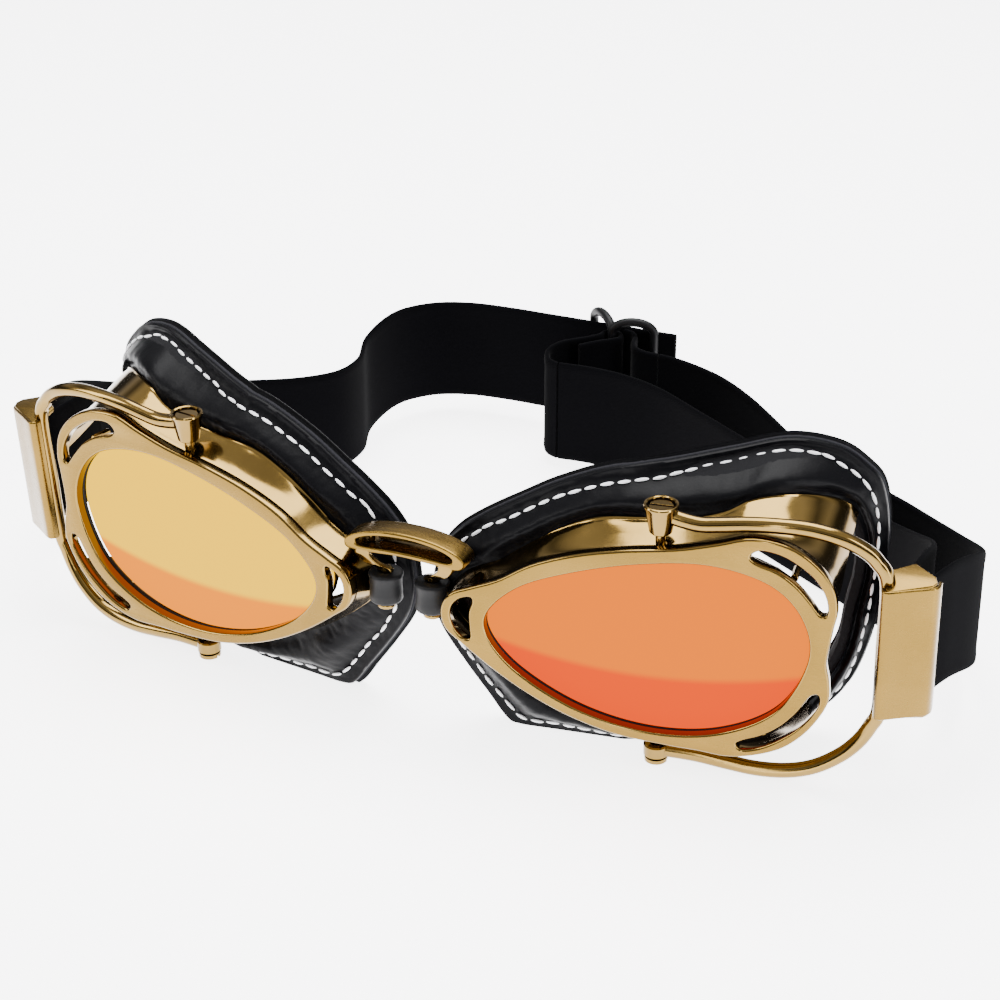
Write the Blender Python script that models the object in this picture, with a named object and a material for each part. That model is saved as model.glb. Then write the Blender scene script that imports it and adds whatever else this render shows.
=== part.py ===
"""Vintage motorcycle goggles: two brass eye cups hinged to a brass nose bridge, each with a wire bail
that carries the elastic head strap.

+Z is up, the lenses face -Y, and "left" and "right" are the wearer's, so the left cup stands at +X.
The goggles stand on the lower edges of their leather pads and on the strap, at z = 0.
All sizes are in millimetres, and MM turns them into metres when a mesh is made.

Each eye cup is drawn in its own frame: x runs from the nose to the temple, y runs up, and z points
out of the lens, with z = 0 on the front of the bezel and the origin in the middle of the lens opening.
The right cup is the mirror image of the left one.
"""
import bpy
import bmesh
import math
from mathutils import Matrix, Vector

MM = 0.001
GAP = 0.3                  # air between pieces that touch

# Overall stance
BRIDGE_X = 3.7             # the bridge's middle stands a little off the middle of the whole strap loop
BRIDGE_Y = -76.2           # the bridge stands at the front of the strap loop
LENS_HEIGHT = 30.04        # middle of the lens above the ground
CUP_SPREAD = 50.8          # middle of the bridge to the middle of each lens
CUP_WRAP = 9.0             # degrees that each cup turns back at the temple

# Sampling
STRETCH = 1.5              # the cups are this much longer than they are high
RING = 48                  # points round a cup-shaped outline

# Bezel
BEZEL_THICK = 2.4
BEZEL_EDGE = 0.45          # rounding of the bezel's edges
# Cup wall
WALL_THICK = 0.9
WALL_INSET = 0.25          # the wall starts this far inside the bezel's outline
WALL_REAR = 9.0            # depth of the wall's rear rim, at the nose and over the eye
WALL_TEMPLE_CURVE = 0.0185 # how fast that rim falls back towards the temple
WALL_TEMPLE_START = 8.0
# Lens, its gasket and its retainer
LENS_THICK = 2.0
LENS_RIM = 0.6             # the lens is this much wider than the opening all round
GASKET_THICK = 0.9
RETAINER_THICK = 1.2
RETAINER_WIDTH = 2.4
POST_RADIUS = 0.8
# Face pad
PAD_EDGE_DEPTH = 13.5      # depth of the leather's front edge at the nose
PAD_TEMPLE_SLOPE = 0.32    # how fast the pad falls back towards the temple
PAD_TEMPLE_START = -6.0
PAD_EDGE_THICK = 4.0       # leather, foam and lining together
LEATHER_THICK = 1.3
LINING_THICK = 1.0
LEATHER_BULGE = 2.6        # how far the leather stands proud beside the wall
EYE_MARGIN = 4.0           # the pad's eye opening lies this far inside the wall's rim
# Bail and its pivots
BAIL_RADIUS = 1.55
BAIL_SLOPE = 0.05          # the pivot axis leans forward by this much for each unit of height
PIVOT_X = 2.3
PIVOT_Z = -4.6
PIVOT_TOP = 30.2
PIVOT_BOTTOM = -27.6
EYE_HEIGHT = 6.3
EYE_TOP_RADIUS = 3.5
EYE_FOOT_RADIUS = 2.2
LOWER_EYE_HEIGHT = 2.8
SCREW_HEAD_RADIUS = 2.4
SCREW_HEAD_HEIGHT = 1.2
SCREW_SLOT = 0.6
SCREW_RADIUS = 1.0
NUT_RADIUS = 2.0
NUT_HEIGHT = 1.5
# Strap clip on the bail's upright stretch
UPRIGHT_X = 46.1
UPRIGHT_TOP = 17.6
UPRIGHT_BOTTOM = -11.0
UPRIGHT_Z = -6.85          # at the height of the lens centre
UPRIGHT_SLOPE = 0.09       # the upright leans forward more than the pivot axis
CLIP_HEIGHT = 29.6
CLIP_MIDDLE = 2.8
CLIP_THICK = 0.9
CAP_RISE = 2.0             # the clip's end caps rise this much towards their apex
STRAP_PIN = (51.3, -10.6)  # the pin inside the clip, in plan at the clip's middle height
STRAP_PIN_RADIUS = 0.9
# Bridge
BAND_WIDTH = 26.8
BAND_HEIGHT = 5.2
BAND_DEPTH = 5.8
BAND_WALL = 1.1
BAND_ARCH = 1.7
BAND_Z = 42.6              # middle of the band's arch above the ground
BAND_Y = 0.4
LEG_WIDTH = 2.6
LEG_THICK = 1.5
PIN_RADIUS = 1.05
HINGE_X = -45.0            # hinge axis in the cup's frame
HINGE_Y = 1.6
HINGE_Z = -7.2
BUSH_RADIUS = 3.5
BUSH_HEIGHT = 6.5
CAP_RADIUS = 1.9
CAP_HEIGHT = 1.2
POST_X = 8.6               # the posts inside the band
# Strap
STRAP_WIDTH = 26.4
STRAP_THICK = 1.4
SLIDER_BAR = 1.15          # radius of the slider's bars
SLIDER_LIFT = 4.0          # the slider's lower ends lift the strap this much
SLIDER_HEIGHT = 34.8

# Outlines of the cup, nose at -x, as a person would tack them out on paper
LENS_OPENING = [(32.4, 1), (31, 10), (24.5, 16.6), (13, 19.3), (0, 18), (-14, 14.3), (-26, 8.9),
                (-32.2, 0.8), (-27, -8.2), (-13.8, -16), (1, -19.2), (15.2, -17.5), (26.8, -10.6)]
BEZEL_OUTLINE = [(36.1, 1.5), (36.8, 8), (37.5, 13), (36.4, 18), (33, 22.3), (27.6, 25.5), (20.4, 26.3),
                 (13.5, 24.2), (6, 22.2), (-4.8, 20.4), (-14, 18.2), (-22.6, 14.9), (-29.5, 10.6),
                 (-35, 8.2), (-39.3, 6.2), (-41.2, 2.6), (-40.4, -1.6), (-36.6, -5), (-29.9, -10.1),
                 (-22.2, -14.8), (-14.1, -18.4), (-4.9, -20.9), (5.5, -21.8), (11.5, -22), (17.5, -22.4),
                 (23, -21.3), (28.3, -18.9), (32.2, -15.4), (35, -11.4), (36.9, -7), (36.8, -2.6)]
WALL_RIM = [(38.4, 0), (39.6, 8), (39.4, 16), (36.6, 24), (31.7, 27.8), (25, 29.6), (18.6, 29.2), (13.5, 26.6),
            (6, 24.6), (-3, 23.6), (-11, 22.6), (-18, 19.6), (-25.3, 14.9), (-31, 10.8), (-38, 7.2),
            (-41.4, 3), (-40.9, -2.4), (-36.6, -7), (-29.9, -12.2), (-22.2, -16.9), (-14.1, -20.6),
            (-4.9, -23.1), (5.5, -24), (17.5, -24.4), (25.5, -22.4), (32.5, -17.6), (37, -9.5)]
PAD_OUTLINE = [(42.6, 5), (43.2, 17), (41.6, 26.6), (38, 31.4), (32.5, 35.3), (23.5, 37.2), (13, 35.3),
               (2, 33.1), (-9.5, 31.1), (-20.5, 26.6), (-28.7, 21.9), (-34.8, 18.2), (-40.6, 13.9),
               (-44.6, 9), (-46.4, 3), (-46.6, -3), (-44.8, -9), (-40, -16.4), (-35, -23.2), (-31, -28.6),
               (-28.2, -29.8), (-20, -29.9), (-8, -30), (5, -30), (18, -29.5), (29, -26.4), (37, -18.6),
               (41, -8)]
UPPER_SLOT = [(20.3, 22.4), (22.2, 23.9), (26.4, 23.3), (30.2, 21.3), (33.2, 18.8), (35.2, 15.4),
              (35.6, 12.2), (34.3, 11.8), (32.2, 14.4), (29.4, 17.4), (25.8, 19.8), (21.8, 21.1)]
LOWER_SLOT = [(35, -6), (34.8, -8.8), (31.8, -13.3), (28, -16.8), (24.2, -19.2), (20.6, -20.3),
              (19.4, -19.2), (20.9, -18.1), (24.4, -16.5), (28, -13.8), (31, -10.2), (33.4, -6.3)]
NOSE_SLOT = [(-35.2, 5.9), (-37.4, 5.2), (-38.9, 3.4), (-39.2, 1), (-38.3, -1.6), (-36.6, -3.4),
             (-35.2, -3.2), (-35.3, -0.8), (-35.4, 2.4), (-34.7, 4.8)]
# The bail's wire from the upper eye to the upright, and from the upright to the lower eye
BAIL_TOP = [(4.6, 27.4, -3.3), (7.4, 26.9, -3.1), (10.5, 26.7, -2.9), (14.5, 27.3, -2.7), (19, 28, -2.6),
            (25, 28.4, -2.7), (31, 28.2, -3.1), (36.5, 27, -3.6), (40.8, 24.9, -4.4), (43.8, 22.3, -4.9)]
BAIL_LOW = [(44.6, -15.6, -8), (42.2, -19.6, -7.6), (38.8, -22.9, -7), (34.2, -25.7, -6.4),
            (29, -27.2, -6), (23, -27.6, -5.8), (17, -27.1, -5.8), (10.5, -26.4, -5.9), (4.0, -26.2, -5.9)]
# The strap's course in plan, from the middle of the bridge; y runs back
MAIN_RUN_Y = 155.2
STRAP_RIGHT = [(-97.6, 37), (-97.3, 30), (-97.5, 23), (-97.7, 19.6), (-98.2, 17.3), (-99.8, 16.4),
               (-101.3, 17.3), (-101.8, 19.6), (-102.4, 24),
               (-103.9, 31), (-109.6, 47), (-113, 62), (-110.8, 76), (-102, 85.6), (-90, 92.2), (-79.5, 98.8),
               (-72.6, 107), (-71.8, 117), (-75, 128), (-73, 140.5), (-67, 149.6), (-58, 154),
               (-47, MAIN_RUN_Y), (-36, MAIN_RUN_Y), (-16, MAIN_RUN_Y), (0, MAIN_RUN_Y)]
STRAP_LEFT = [(0.8, 141.4), (7, 140.4), (18, 136.4), (28, 130.4), (37, 123), (46, 114), (56, 106), (66, 99.6),
              (76, 93.6), (85, 87), (93, 79), (99.8, 68.4), (104, 56), (105.6, 44), (104, 32),
              (102.4, 24), (101.8, 19.6), (101.3, 17.3), (99.8, 16.4), (98.2, 17.3), (97.7, 19.6), (97.4, 24), (97.2, 33), (96.4, 44),
              (93, 56), (86.8, 67.4), (78.6, 77.6), (69.4, 86), (59, 93.4), (48.4, 100.4), (38, 107.2),
              (29, 113.4), (19, 120.2), (7, 126.8), (-4, 130), (-14, 130.8), (-22, 130.4)]
STRAP_FOLD = [(-22.4, 130.4), (-25.6, 131.8), (-27.2, 135.6), (-25.4, 139.8), (-21.4, 143.6), (-18.4, 147.4),
              (-17.6, 150.4), (-15.4, 151.8), (-13.2, 150.2), (-13, 147.4), (-16.6, 143.6), (-20.4, 139.6)]
STRAP_WEAVE = [(-13.4, 153.5), (-10.8, 152.6), (-9.2, 150.1), (-8.4, 146.7), (-6.4, 143.3), (-3, 141.7), (0.4, 141.4)]
LEFT_BAR = (-23.6, 157.6)
CENTRE_BAR = (-15.4, 149.6)
RIGHT_BAR = (-5.0, 152.6)


def clear_scene():
    for old in list(bpy.data.objects):
        bpy.data.objects.remove(old, do_unlink=True)


clear_scene()
goggles = bpy.data.collections.new("motorcycle_goggles")
cutters = bpy.data.collections.new("cutters")
bpy.context.scene.collection.children.link(goggles)
bpy.context.scene.collection.children.link(cutters)


# ---------------------------------------------------------------- materials
def material(name, colour, roughness, metallic=0.0):
    made = bpy.data.materials.new(name)
    made.use_nodes = True
    shader = made.node_tree.nodes["Principled BSDF"]
    shader.inputs["Base Color"].default_value = (*colour, 1.0)
    shader.inputs["Roughness"].default_value = roughness
    shader.inputs["Metallic"].default_value = metallic
    return made


BRUSHED = material("brushed_brass", (0.58, 0.43, 0.20), 0.32, 1.0)
POLISHED = material("polished_brass", (0.66, 0.50, 0.26), 0.16, 1.0)
LENS_LEFT = material("orange_mirror", (1.0, 0.22, 0.02), 0.05, 0.6)
LENS_RIGHT = material("yellow_mirror", (1.0, 0.62, 0.02), 0.05, 0.6)
RUBBER = material("black_rubber", (0.02, 0.02, 0.022), 0.6)
LEATHER = material("black_leather", (0.015, 0.015, 0.018), 0.38)
FOAM = material("black_foam", (0.03, 0.03, 0.032), 0.9)
LINING = material("lining", (0.02, 0.02, 0.022), 0.8)
WEBBING = material("elastic_webbing", (0.022, 0.020, 0.024), 0.85)
PLASTIC = material("black_plastic", (0.03, 0.03, 0.033), 0.35)


# ---------------------------------------------------------------- frames
def cup_point(point, side=1):
    """A point of the cup's frame in the object's frame; side is 1 for the left cup, -1 for the right."""
    x, y, z = point
    wrap = math.radians(CUP_WRAP)
    out_x = CUP_SPREAD + x * math.cos(wrap) + z * math.sin(wrap)
    out_y = x * math.sin(wrap) - z * math.cos(wrap)
    return Vector((BRIDGE_X + side * out_x, BRIDGE_Y + out_y, LENS_HEIGHT + y))


def bridge_point(x, y, z):
    return Vector((BRIDGE_X + x, BRIDGE_Y + y, z))


def axis_z(y, at_lens_height):
    """Depth of a line that leans with the bail's pivot axis, at the height y of the cup's frame."""
    return at_lens_height + BAIL_SLOPE * y


def upright_z(y):
    """Depth of the bail's upright at the height y of the cup's frame."""
    return UPRIGHT_Z + UPRIGHT_SLOPE * y


PIVOTS = {}
for SIDE, SIDE_NAME in ((1, "left"), (-1, "right")):
    PIVOTS["cup_" + SIDE_NAME] = cup_point((HINGE_X, HINGE_Y, HINGE_Z), SIDE)
    PIVOTS["bail_" + SIDE_NAME] = cup_point((PIVOT_X, 0, PIVOT_Z), SIDE)
    PIVOTS["clip_" + SIDE_NAME] = cup_point((UPRIGHT_X, CLIP_MIDDLE, upright_z(CLIP_MIDDLE)), SIDE)
    PIVOTS["strap_" + SIDE_NAME] = cup_point((STRAP_PIN[0], CLIP_MIDDLE, STRAP_PIN[1]), SIDE)
PIVOTS["bridge"] = bridge_point(0, 0, LENS_HEIGHT)
PIVOTS["slider"] = bridge_point(CENTRE_BAR[0], CENTRE_BAR[1], 0)

EMPTIES = {}
for body, place in PIVOTS.items():
    empty = bpy.data.objects.new("axis_" + body, None)
    empty.location = place * MM
    goggles.objects.link(empty)
    EMPTIES[body] = empty
bpy.context.view_layer.update()


def parent_of(body):
    return EMPTIES[body]


# ---------------------------------------------------------------- mesh helpers
def add_object(name, mesh, body, finish):
    """Links a mesh whose points are in millimetres of the object's frame, on its body's axis."""
    pivot = PIVOTS[body]
    mesh.transform(Matrix.Scale(MM, 4) @ Matrix.Translation(-pivot))
    mesh.materials.clear()
    mesh.materials.append(finish)
    made = bpy.data.objects.new(name, mesh)
    made.parent = EMPTIES[body]
    goggles.objects.link(made)
    mesh.shade_smooth()
    mesh.set_sharp_from_angle(angle=math.radians(35))
    return made


def mesh_from(bm, name):
    bmesh.ops.recalc_face_normals(bm, faces=bm.faces)
    if bm.calc_volume(signed=True) < 0:
        bmesh.ops.reverse_faces(bm, faces=bm.faces)
    mesh = bpy.data.meshes.new(name)
    bm.to_mesh(mesh)
    bm.free()
    return mesh


def place_cup(bm, side):
    for vert in bm.verts:
        vert.co = cup_point(vert.co, side)


def cup_part(name, bm, side, body, finish):
    place_cup(bm, side)
    return add_object(name, mesh_from(bm, name), body, finish)


def catmull(points, closed, per_span):
    """Points of a smooth curve through the given ones."""
    count = len(points)
    spans = count if closed else count - 1
    made = []
    for i in range(spans):
        if closed:
            a, b, c, d = (Vector(points[(i + k) % count]) for k in (-1, 0, 1, 2))
        else:
            a, b, c, d = (Vector(points[min(max(i + k, 0), count - 1)]) for k in (-1, 0, 1, 2))
        for step in range(per_span):
            t = step / per_span
            made.append(0.5 * (2 * b + (c - a) * t + (2 * a - 5 * b + 4 * c - d) * t * t
                               + (3 * b - a - 3 * c + d) * t ** 3))
    if not closed:
        made.append(Vector(points[-1]))
    return made


def ring_of(outline, count=RING, margin=0.0):
    """The outline at even steps of angle round the lens centre, grown outwards by margin."""
    dense = [(math.atan2(p.y, p.x / STRETCH), math.hypot(p.x / STRETCH, p.y)) for p in catmull(outline, True, 16)]
    dense.sort()
    first, last = dense[0], dense[-1]
    dense = [(last[0] - math.tau, last[1])] + dense + [(first[0] + math.tau, first[1])]
    ring = []
    k = 0
    for i in range(count):
        angle = -math.pi + math.tau * i / count
        while dense[k + 1][0] < angle:
            k += 1
        (a0, r0), (a1, r1) = dense[k], dense[k + 1]
        radius = r0 + (r1 - r0) * (angle - a0) / max(a1 - a0, 1e-9)
        ring.append(Vector((STRETCH * radius * math.cos(angle), radius * math.sin(angle))))
    if margin:
        grown = []
        for i, p in enumerate(ring):
            along = ring[(i + 1) % count] - ring[i - 1]
            grown.append(p + Vector((along.y, -along.x)).normalized() * margin)
        ring = grown
    return ring


def lifted(ring, depth):
    """Gives a flat ring its depth, a number or a function of x."""
    return [Vector((p.x, p.y, depth(p.x) if callable(depth) else depth)) for p in ring]


def hoop(loops, split=False):
    """A closed hoop whose section has a corner on each of the given loops; split cuts every face along
    the same diagonal, so that layers lying on one another keep their distance."""
    bm = bmesh.new()
    rows = [[bm.verts.new(p) for p in loop] for loop in loops]
    for i, row in enumerate(rows):
        following = rows[(i + 1) % len(rows)]
        for k in range(len(row)):
            n = (k + 1) % len(row)
            if split:
                bm.faces.new((row[k], row[n], following[n]))
                bm.faces.new((row[k], following[n], following[k]))
            else:
                bm.faces.new((row[k], row[n], following[n], following[k]))
    return bm


def disc(loops):
    """A closed lens-like body between its first and last loop, with every loop in between as a corner."""
    bm = bmesh.new()
    rows = [[bm.verts.new(p) for p in loop] for loop in loops]
    for row, following in zip(rows, rows[1:]):
        for k in range(len(row)):
            n = (k + 1) % len(row)
            bm.faces.new((row[k], row[n], following[n], following[k]))
    bm.faces.new(rows[0])
    bm.faces.new(rows[-1])
    return bm


def turned(profile, base, axis, sides=20):
    """A solid turned about a line: profile holds (radius, distance along the axis) from one end on."""
    axis = Vector(axis).normalized()
    across = axis.cross(Vector((0.31, 0.12, 0.94))).normalized()
    other = axis.cross(across)
    bm = bmesh.new()
    rows = []
    for radius, along in profile:
        centre = Vector(base) + axis * along
        if radius == 0:
            rows.append([bm.verts.new(centre)])
            continue
        rows.append([bm.verts.new(centre + (across * math.cos(math.tau * k / sides)
                                            + other * math.sin(math.tau * k / sides)) * radius)
                     for k in range(sides)])
    for row, following in zip(rows, rows[1:]):
        for k in range(sides):
            n = (k + 1) % sides
            if len(row) == 1:
                bm.faces.new((row[0], following[n], following[k]))
            elif len(following) == 1:
                bm.faces.new((row[k], row[n], following[0]))
            else:
                bm.faces.new((row[k], row[n], following[n], following[k]))
    for end in (rows[0], rows[-1]):
        if len(end) > 1:
            bm.faces.new(end)
    return bm


def tube(points, radius, sides=10, closed=False):
    """A round bar along a smooth line of points."""
    bm = bmesh.new()
    count = len(points)
    rows = []
    across = None
    for i, p in enumerate(points):
        before = points[i - 1] if closed or i else points[0]
        after = points[(i + 1) % count] if closed or i + 1 < count else points[-1]
        along = (after - before).normalized()
        if across is None:
            across = along.cross(Vector((0.2, 0.5, 0.84))).normalized()
        across = (across - along * across.dot(along)).normalized()
        other = along.cross(across)
        rows.append([bm.verts.new(p + (across * math.cos(math.tau * k / sides)
                                       + other * math.sin(math.tau * k / sides)) * radius)
                     for k in range(sides)])
    skin_rows(bm, rows)
    return bm


def skin_rows(bm, rows):
    """Closes a row of equal sections into one solid."""
    count = len(rows[0])
    for row, following in zip(rows, rows[1:]):
        for k in range(count):
            n = (k + 1) % count
            bm.faces.new((row[k], row[n], following[n], following[k]))
    bm.faces.new(rows[0])
    bm.faces.new(rows[-1])


def cutter(name, bm):
    mesh = mesh_from(bm, name)
    mesh.transform(Matrix.Scale(MM, 4))
    made = bpy.data.objects.new(name, mesh)
    made.display_type = "WIRE"
    made.hide_render = True
    cutters.objects.link(made)
    return made


def combine(target, other, operation):
    step = target.modifiers.new(operation.lower() + "_" + other.name, "BOOLEAN")
    step.operation = operation
    step.solver = "EXACT"
    step.object = other


# ---------------------------------------------------------------- eye cup
def wall_depth(x):
    return -WALL_REAR - WALL_TEMPLE_CURVE * max(0.0, x - WALL_TEMPLE_START) ** 2


def pad_depth(x):
    return -PAD_EDGE_DEPTH - PAD_TEMPLE_SLOPE * max(0.0, x - PAD_TEMPLE_START)


def flat_outline(points, reverse):
    return list(reversed(points)) if reverse else points


def make_bezel(side, name):
    """The flat brass front: a plate with the lens opening and three crescent vents."""
    curve = bpy.data.curves.new("bezel_outline", "CURVE")
    curve.dimensions = "2D"
    curve.fill_mode = "BOTH"
    curve.extrude = BEZEL_THICK / 2 - BEZEL_EDGE
    curve.bevel_depth = BEZEL_EDGE
    curve.bevel_resolution = 0
    curve.offset = -BEZEL_EDGE
    rings = [ring_of(BEZEL_OUTLINE, 60), ring_of(LENS_OPENING, 40)]
    rings += [catmull(slot, True, 2) for slot in (UPPER_SLOT, LOWER_SLOT, NOSE_SLOT)]
    for ring in rings:
        spline = curve.splines.new("POLY")
        spline.points.add(len(ring) - 1)
        for point, place in zip(spline.points, ring):
            point.co = (place.x, place.y, 0, 1)
        spline.use_cyclic_u = True
    drawn = bpy.data.objects.new("bezel_outline", curve)
    cutters.objects.link(drawn)
    bpy.context.view_layer.update()
    solid = bpy.data.meshes.new_from_object(drawn.evaluated_get(bpy.context.evaluated_depsgraph_get()))
    bpy.data.objects.remove(drawn)
    bm = bmesh.new()
    bm.from_mesh(solid)
    bmesh.ops.remove_doubles(bm, verts=bm.verts, dist=0.001)
    for vert in bm.verts:
        vert.co.z -= BEZEL_THICK / 2
    cup_part("bezel_" + name, bm, side, "cup_" + name, BRUSHED)


def make_wall(side, name):
    """Formed brass sheet from the bezel back to the pad, open at the temple as an air vent."""
    front = -BEZEL_THICK - GAP
    outer_front = ring_of(BEZEL_OUTLINE, RING, -WALL_INSET)
    inner_front = ring_of(BEZEL_OUTLINE, RING, -WALL_INSET - WALL_THICK)
    outer_rear = ring_of(WALL_RIM)
    inner_rear = ring_of(WALL_RIM, RING, -WALL_THICK)
    middle = [(a + b * 1.25) / 2.25 for a, b in zip(outer_front, outer_rear)]
    inner_middle = [(a + b * 1.25) / 2.25 for a, b in zip(inner_front, inner_rear)]
    loops = [lifted(outer_front, front), lifted(middle, lambda x: (front + wall_depth(x)) / 2),
             lifted(outer_rear, wall_depth), lifted(inner_rear, wall_depth),
             lifted(inner_middle, lambda x: (front + wall_depth(x)) / 2), lifted(inner_front, front)]
    wall = cup_part("cup_wall_" + name, hoop(loops), side, "cup_" + name, POLISHED)
    vent = bmesh.new()
    section = [(13.6, 5), (13.6, front), (21.5, -23), (27, -45), (-27, -45), (-19.5, -20), (-12.6, front), (-12.6, 5)]
    rows = [[vent.verts.new((x, y, z)) for y, z in section] for x in (26.0, 60.0)]
    for k in range(len(section)):
        n = (k + 1) % len(section)
        vent.faces.new((rows[0][k], rows[0][n], rows[1][n], rows[1][k]))
    vent.faces.new(rows[0])
    vent.faces.new(rows[1])
    place_cup(vent, side)
    combine(wall, cutter("vent_" + name, vent), "DIFFERENCE")
    tongue = bmesh.new()
    bmesh.ops.create_cube(tongue, size=1)
    inner_end = HINGE_X + PIN_RADIUS + GAP + 0.6
    outer_end = -39.9
    for vert in tongue.verts:
        vert.co.x = (inner_end + outer_end) / 2 + vert.co.x * (outer_end - inner_end)
        vert.co.y = HINGE_Y + vert.co.y * 3.0
        vert.co.z = HINGE_Z + vert.co.z * 1.6
    place_cup(tongue, side)
    combine(wall, cutter("tongue_" + name, tongue), "UNION")
    for axis_y, direction in ((PIVOT_TOP - EYE_HEIGHT, 1), (PIVOT_BOTTOM + LOWER_EYE_HEIGHT, -1)):
        hole = turned([(SCREW_RADIUS + GAP, -6), (SCREW_RADIUS + GAP, 6)],
                      (PIVOT_X, axis_y, axis_z(axis_y, PIVOT_Z)), (0, 1, BAIL_SLOPE), 12)
        place_cup(hole, side)
        combine(wall, cutter("pivot_hole_%s_%s" % ("top" if direction > 0 else "low", name), hole), "DIFFERENCE")


def make_lens(side, name):
    """The mirrored lens, slightly domed, with its rubber gasket in front and a brass retainer behind."""
    seat = -BEZEL_THICK - GAP - GASKET_THICK - GAP
    loops = []
    for share, rise in ((1.0, 0.0), (0.75, 0.45), (0.45, 0.8), (0.15, 0.98)):
        loops.append(lifted([p * share for p in ring_of(LENS_OPENING, 40, LENS_RIM)], seat + 0.8 * rise))
    back = []
    for share, rise in ((0.15, 0.98), (0.45, 0.8), (0.75, 0.45), (1.0, 0.0)):
        back.append(lifted([p * share for p in ring_of(LENS_OPENING, 40, LENS_RIM)], seat - LENS_THICK + 0.8 * rise))
    lens = disc(list(reversed(loops)) + list(reversed(back)))
    finish = LENS_LEFT if side > 0 else LENS_RIGHT
    cup_part("lens_" + name, lens, side, "cup_" + name, finish)
    gasket_front = -BEZEL_THICK - GAP
    inner = ring_of(LENS_OPENING, RING, 0.2)
    outer = ring_of(LENS_OPENING, RING, LENS_RIM)
    gasket = hoop([lifted(inner, gasket_front), lifted(outer, gasket_front),
                   lifted(outer, gasket_front - GASKET_THICK), lifted(inner, gasket_front - GASKET_THICK)])
    cup_part("lens_gasket_" + name, gasket, side, "cup_" + name, RUBBER)
    top = seat - LENS_THICK - GAP
    inner = ring_of(LENS_OPENING, RING, LENS_RIM + 0.2 - RETAINER_WIDTH)
    outer = ring_of(LENS_OPENING, RING, LENS_RIM + 0.2)
    retainer = hoop([lifted(inner, top), lifted(outer, top), lifted(outer, top - RETAINER_THICK),
                     lifted(inner, top - RETAINER_THICK)])
    ring = cup_part("lens_retainer_" + name, retainer, side, "cup_" + name, BRUSHED)
    return ring


def make_pad(side, name):
    """The face pad: a black leather cover sewn at its edge over foam, with a soft lining at the face."""
    body = "cup_" + name
    eye = ring_of(WALL_RIM, RING, -EYE_MARGIN)
    rim = ring_of(WALL_RIM)
    edge = ring_of(PAD_OUTLINE)

    def between(a, b, share):
        return [p + (q - p) * share for p, q in zip(a, b)]

    def start_depth(x):
        return wall_depth(x) - GAP

    near = between(rim, edge, 0.08)
    crown = between(rim, edge, 0.42)
    sewn = between(rim, edge, 0.78)
    crown_depth = [start_depth(p.x) * 0.62 + pad_depth(p.x) * 0.38
                   + LEATHER_BULGE * min(max((p.x + 42) / 14, 0.0), 1.0) for p in crown]
    outside = [lifted(between(rim, edge, -0.10), start_depth), lifted(near, start_depth),
               [Vector((p.x, p.y, z)) for p, z in zip(crown, crown_depth)],
               [Vector((p.x, p.y, pad_depth(p.x) + 0.7)) for p in sewn],
               lifted(edge, pad_depth)]
    inside = [[Vector((p.x, p.y, p.z - LEATHER_THICK)) for p in loop] for loop in outside]
    leather = hoop(outside + list(reversed(inside)), True)
    cup_part("leather_cover_" + name, leather, side, body, LEATHER)

    drop = LEATHER_THICK + 2 * GAP
    rear = PAD_EDGE_THICK - LINING_THICK - 2 * GAP
    top = [[Vector((p.x, p.y, p.z - drop)) for p in loop] for loop in outside]
    shrink = between(edge, rim, 0.02)
    foam = hoop([lifted(between(rim, eye, 0.55), lambda x: pad_depth(x) - rear - 1.5),
                 lifted(shrink, lambda x: pad_depth(x) - rear), lifted(shrink, lambda x: pad_depth(x) - drop),
                 top[3], top[2], top[1], lifted(between(rim, eye, 0.55), lambda x: start_depth(x) - drop)], True)
    cup_part("foam_pad_" + name, foam, side, body, FOAM)
    front = PAD_EDGE_THICK - LINING_THICK
    lining = hoop([lifted(shrink, lambda x: pad_depth(x) - front),
                   lifted(shrink, lambda x: pad_depth(x) - PAD_EDGE_THICK),
                   lifted(between(rim, eye, 0.6), lambda x: pad_depth(x) - PAD_EDGE_THICK - 1.5),
                   lifted(between(rim, eye, 0.6), lambda x: pad_depth(x) - front - 1.5)])
    cup_part("pad_lining_" + name, lining, side, body, LINING)


def make_hinge_bush(side, name):
    """The rubber bush at the nose that the bridge's leg turns in, pushed over a tongue of the wall."""
    bottom = -BUSH_HEIGHT / 2
    profile = [(BUSH_RADIUS - 0.5, bottom), (BUSH_RADIUS, bottom + 0.5), (BUSH_RADIUS, -bottom - 0.5),
               (BUSH_RADIUS - 0.5, -bottom)]
    bush = cup_part("hinge_bush_" + name, turned(profile, (HINGE_X, HINGE_Y, HINGE_Z), (0, 1, 0), 24), side,
                    "cup_" + name, RUBBER)
    bore = turned([(PIN_RADIUS + GAP, -9), (PIN_RADIUS + GAP, 9)], (HINGE_X, HINGE_Y, HINGE_Z), (0, 1, 0), 16)
    place_cup(bore, side)
    combine(bush, cutter("bore_" + name, bore), "DIFFERENCE")
    slot = bmesh.new()
    bmesh.ops.create_cube(slot, size=1)
    start = HINGE_X + PIN_RADIUS + GAP + 0.6 - GAP
    end = HINGE_X + BUSH_RADIUS + 2
    for vert in slot.verts:
        vert.co.x = (start + end) / 2 + vert.co.x * (end - start)
        vert.co.y = HINGE_Y + vert.co.y * (3.0 + 2 * GAP)
        vert.co.z = HINGE_Z + vert.co.z * (1.6 + 2 * GAP)
    place_cup(slot, side)
    combine(bush, cutter("slot_" + name, slot), "DIFFERENCE")


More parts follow.
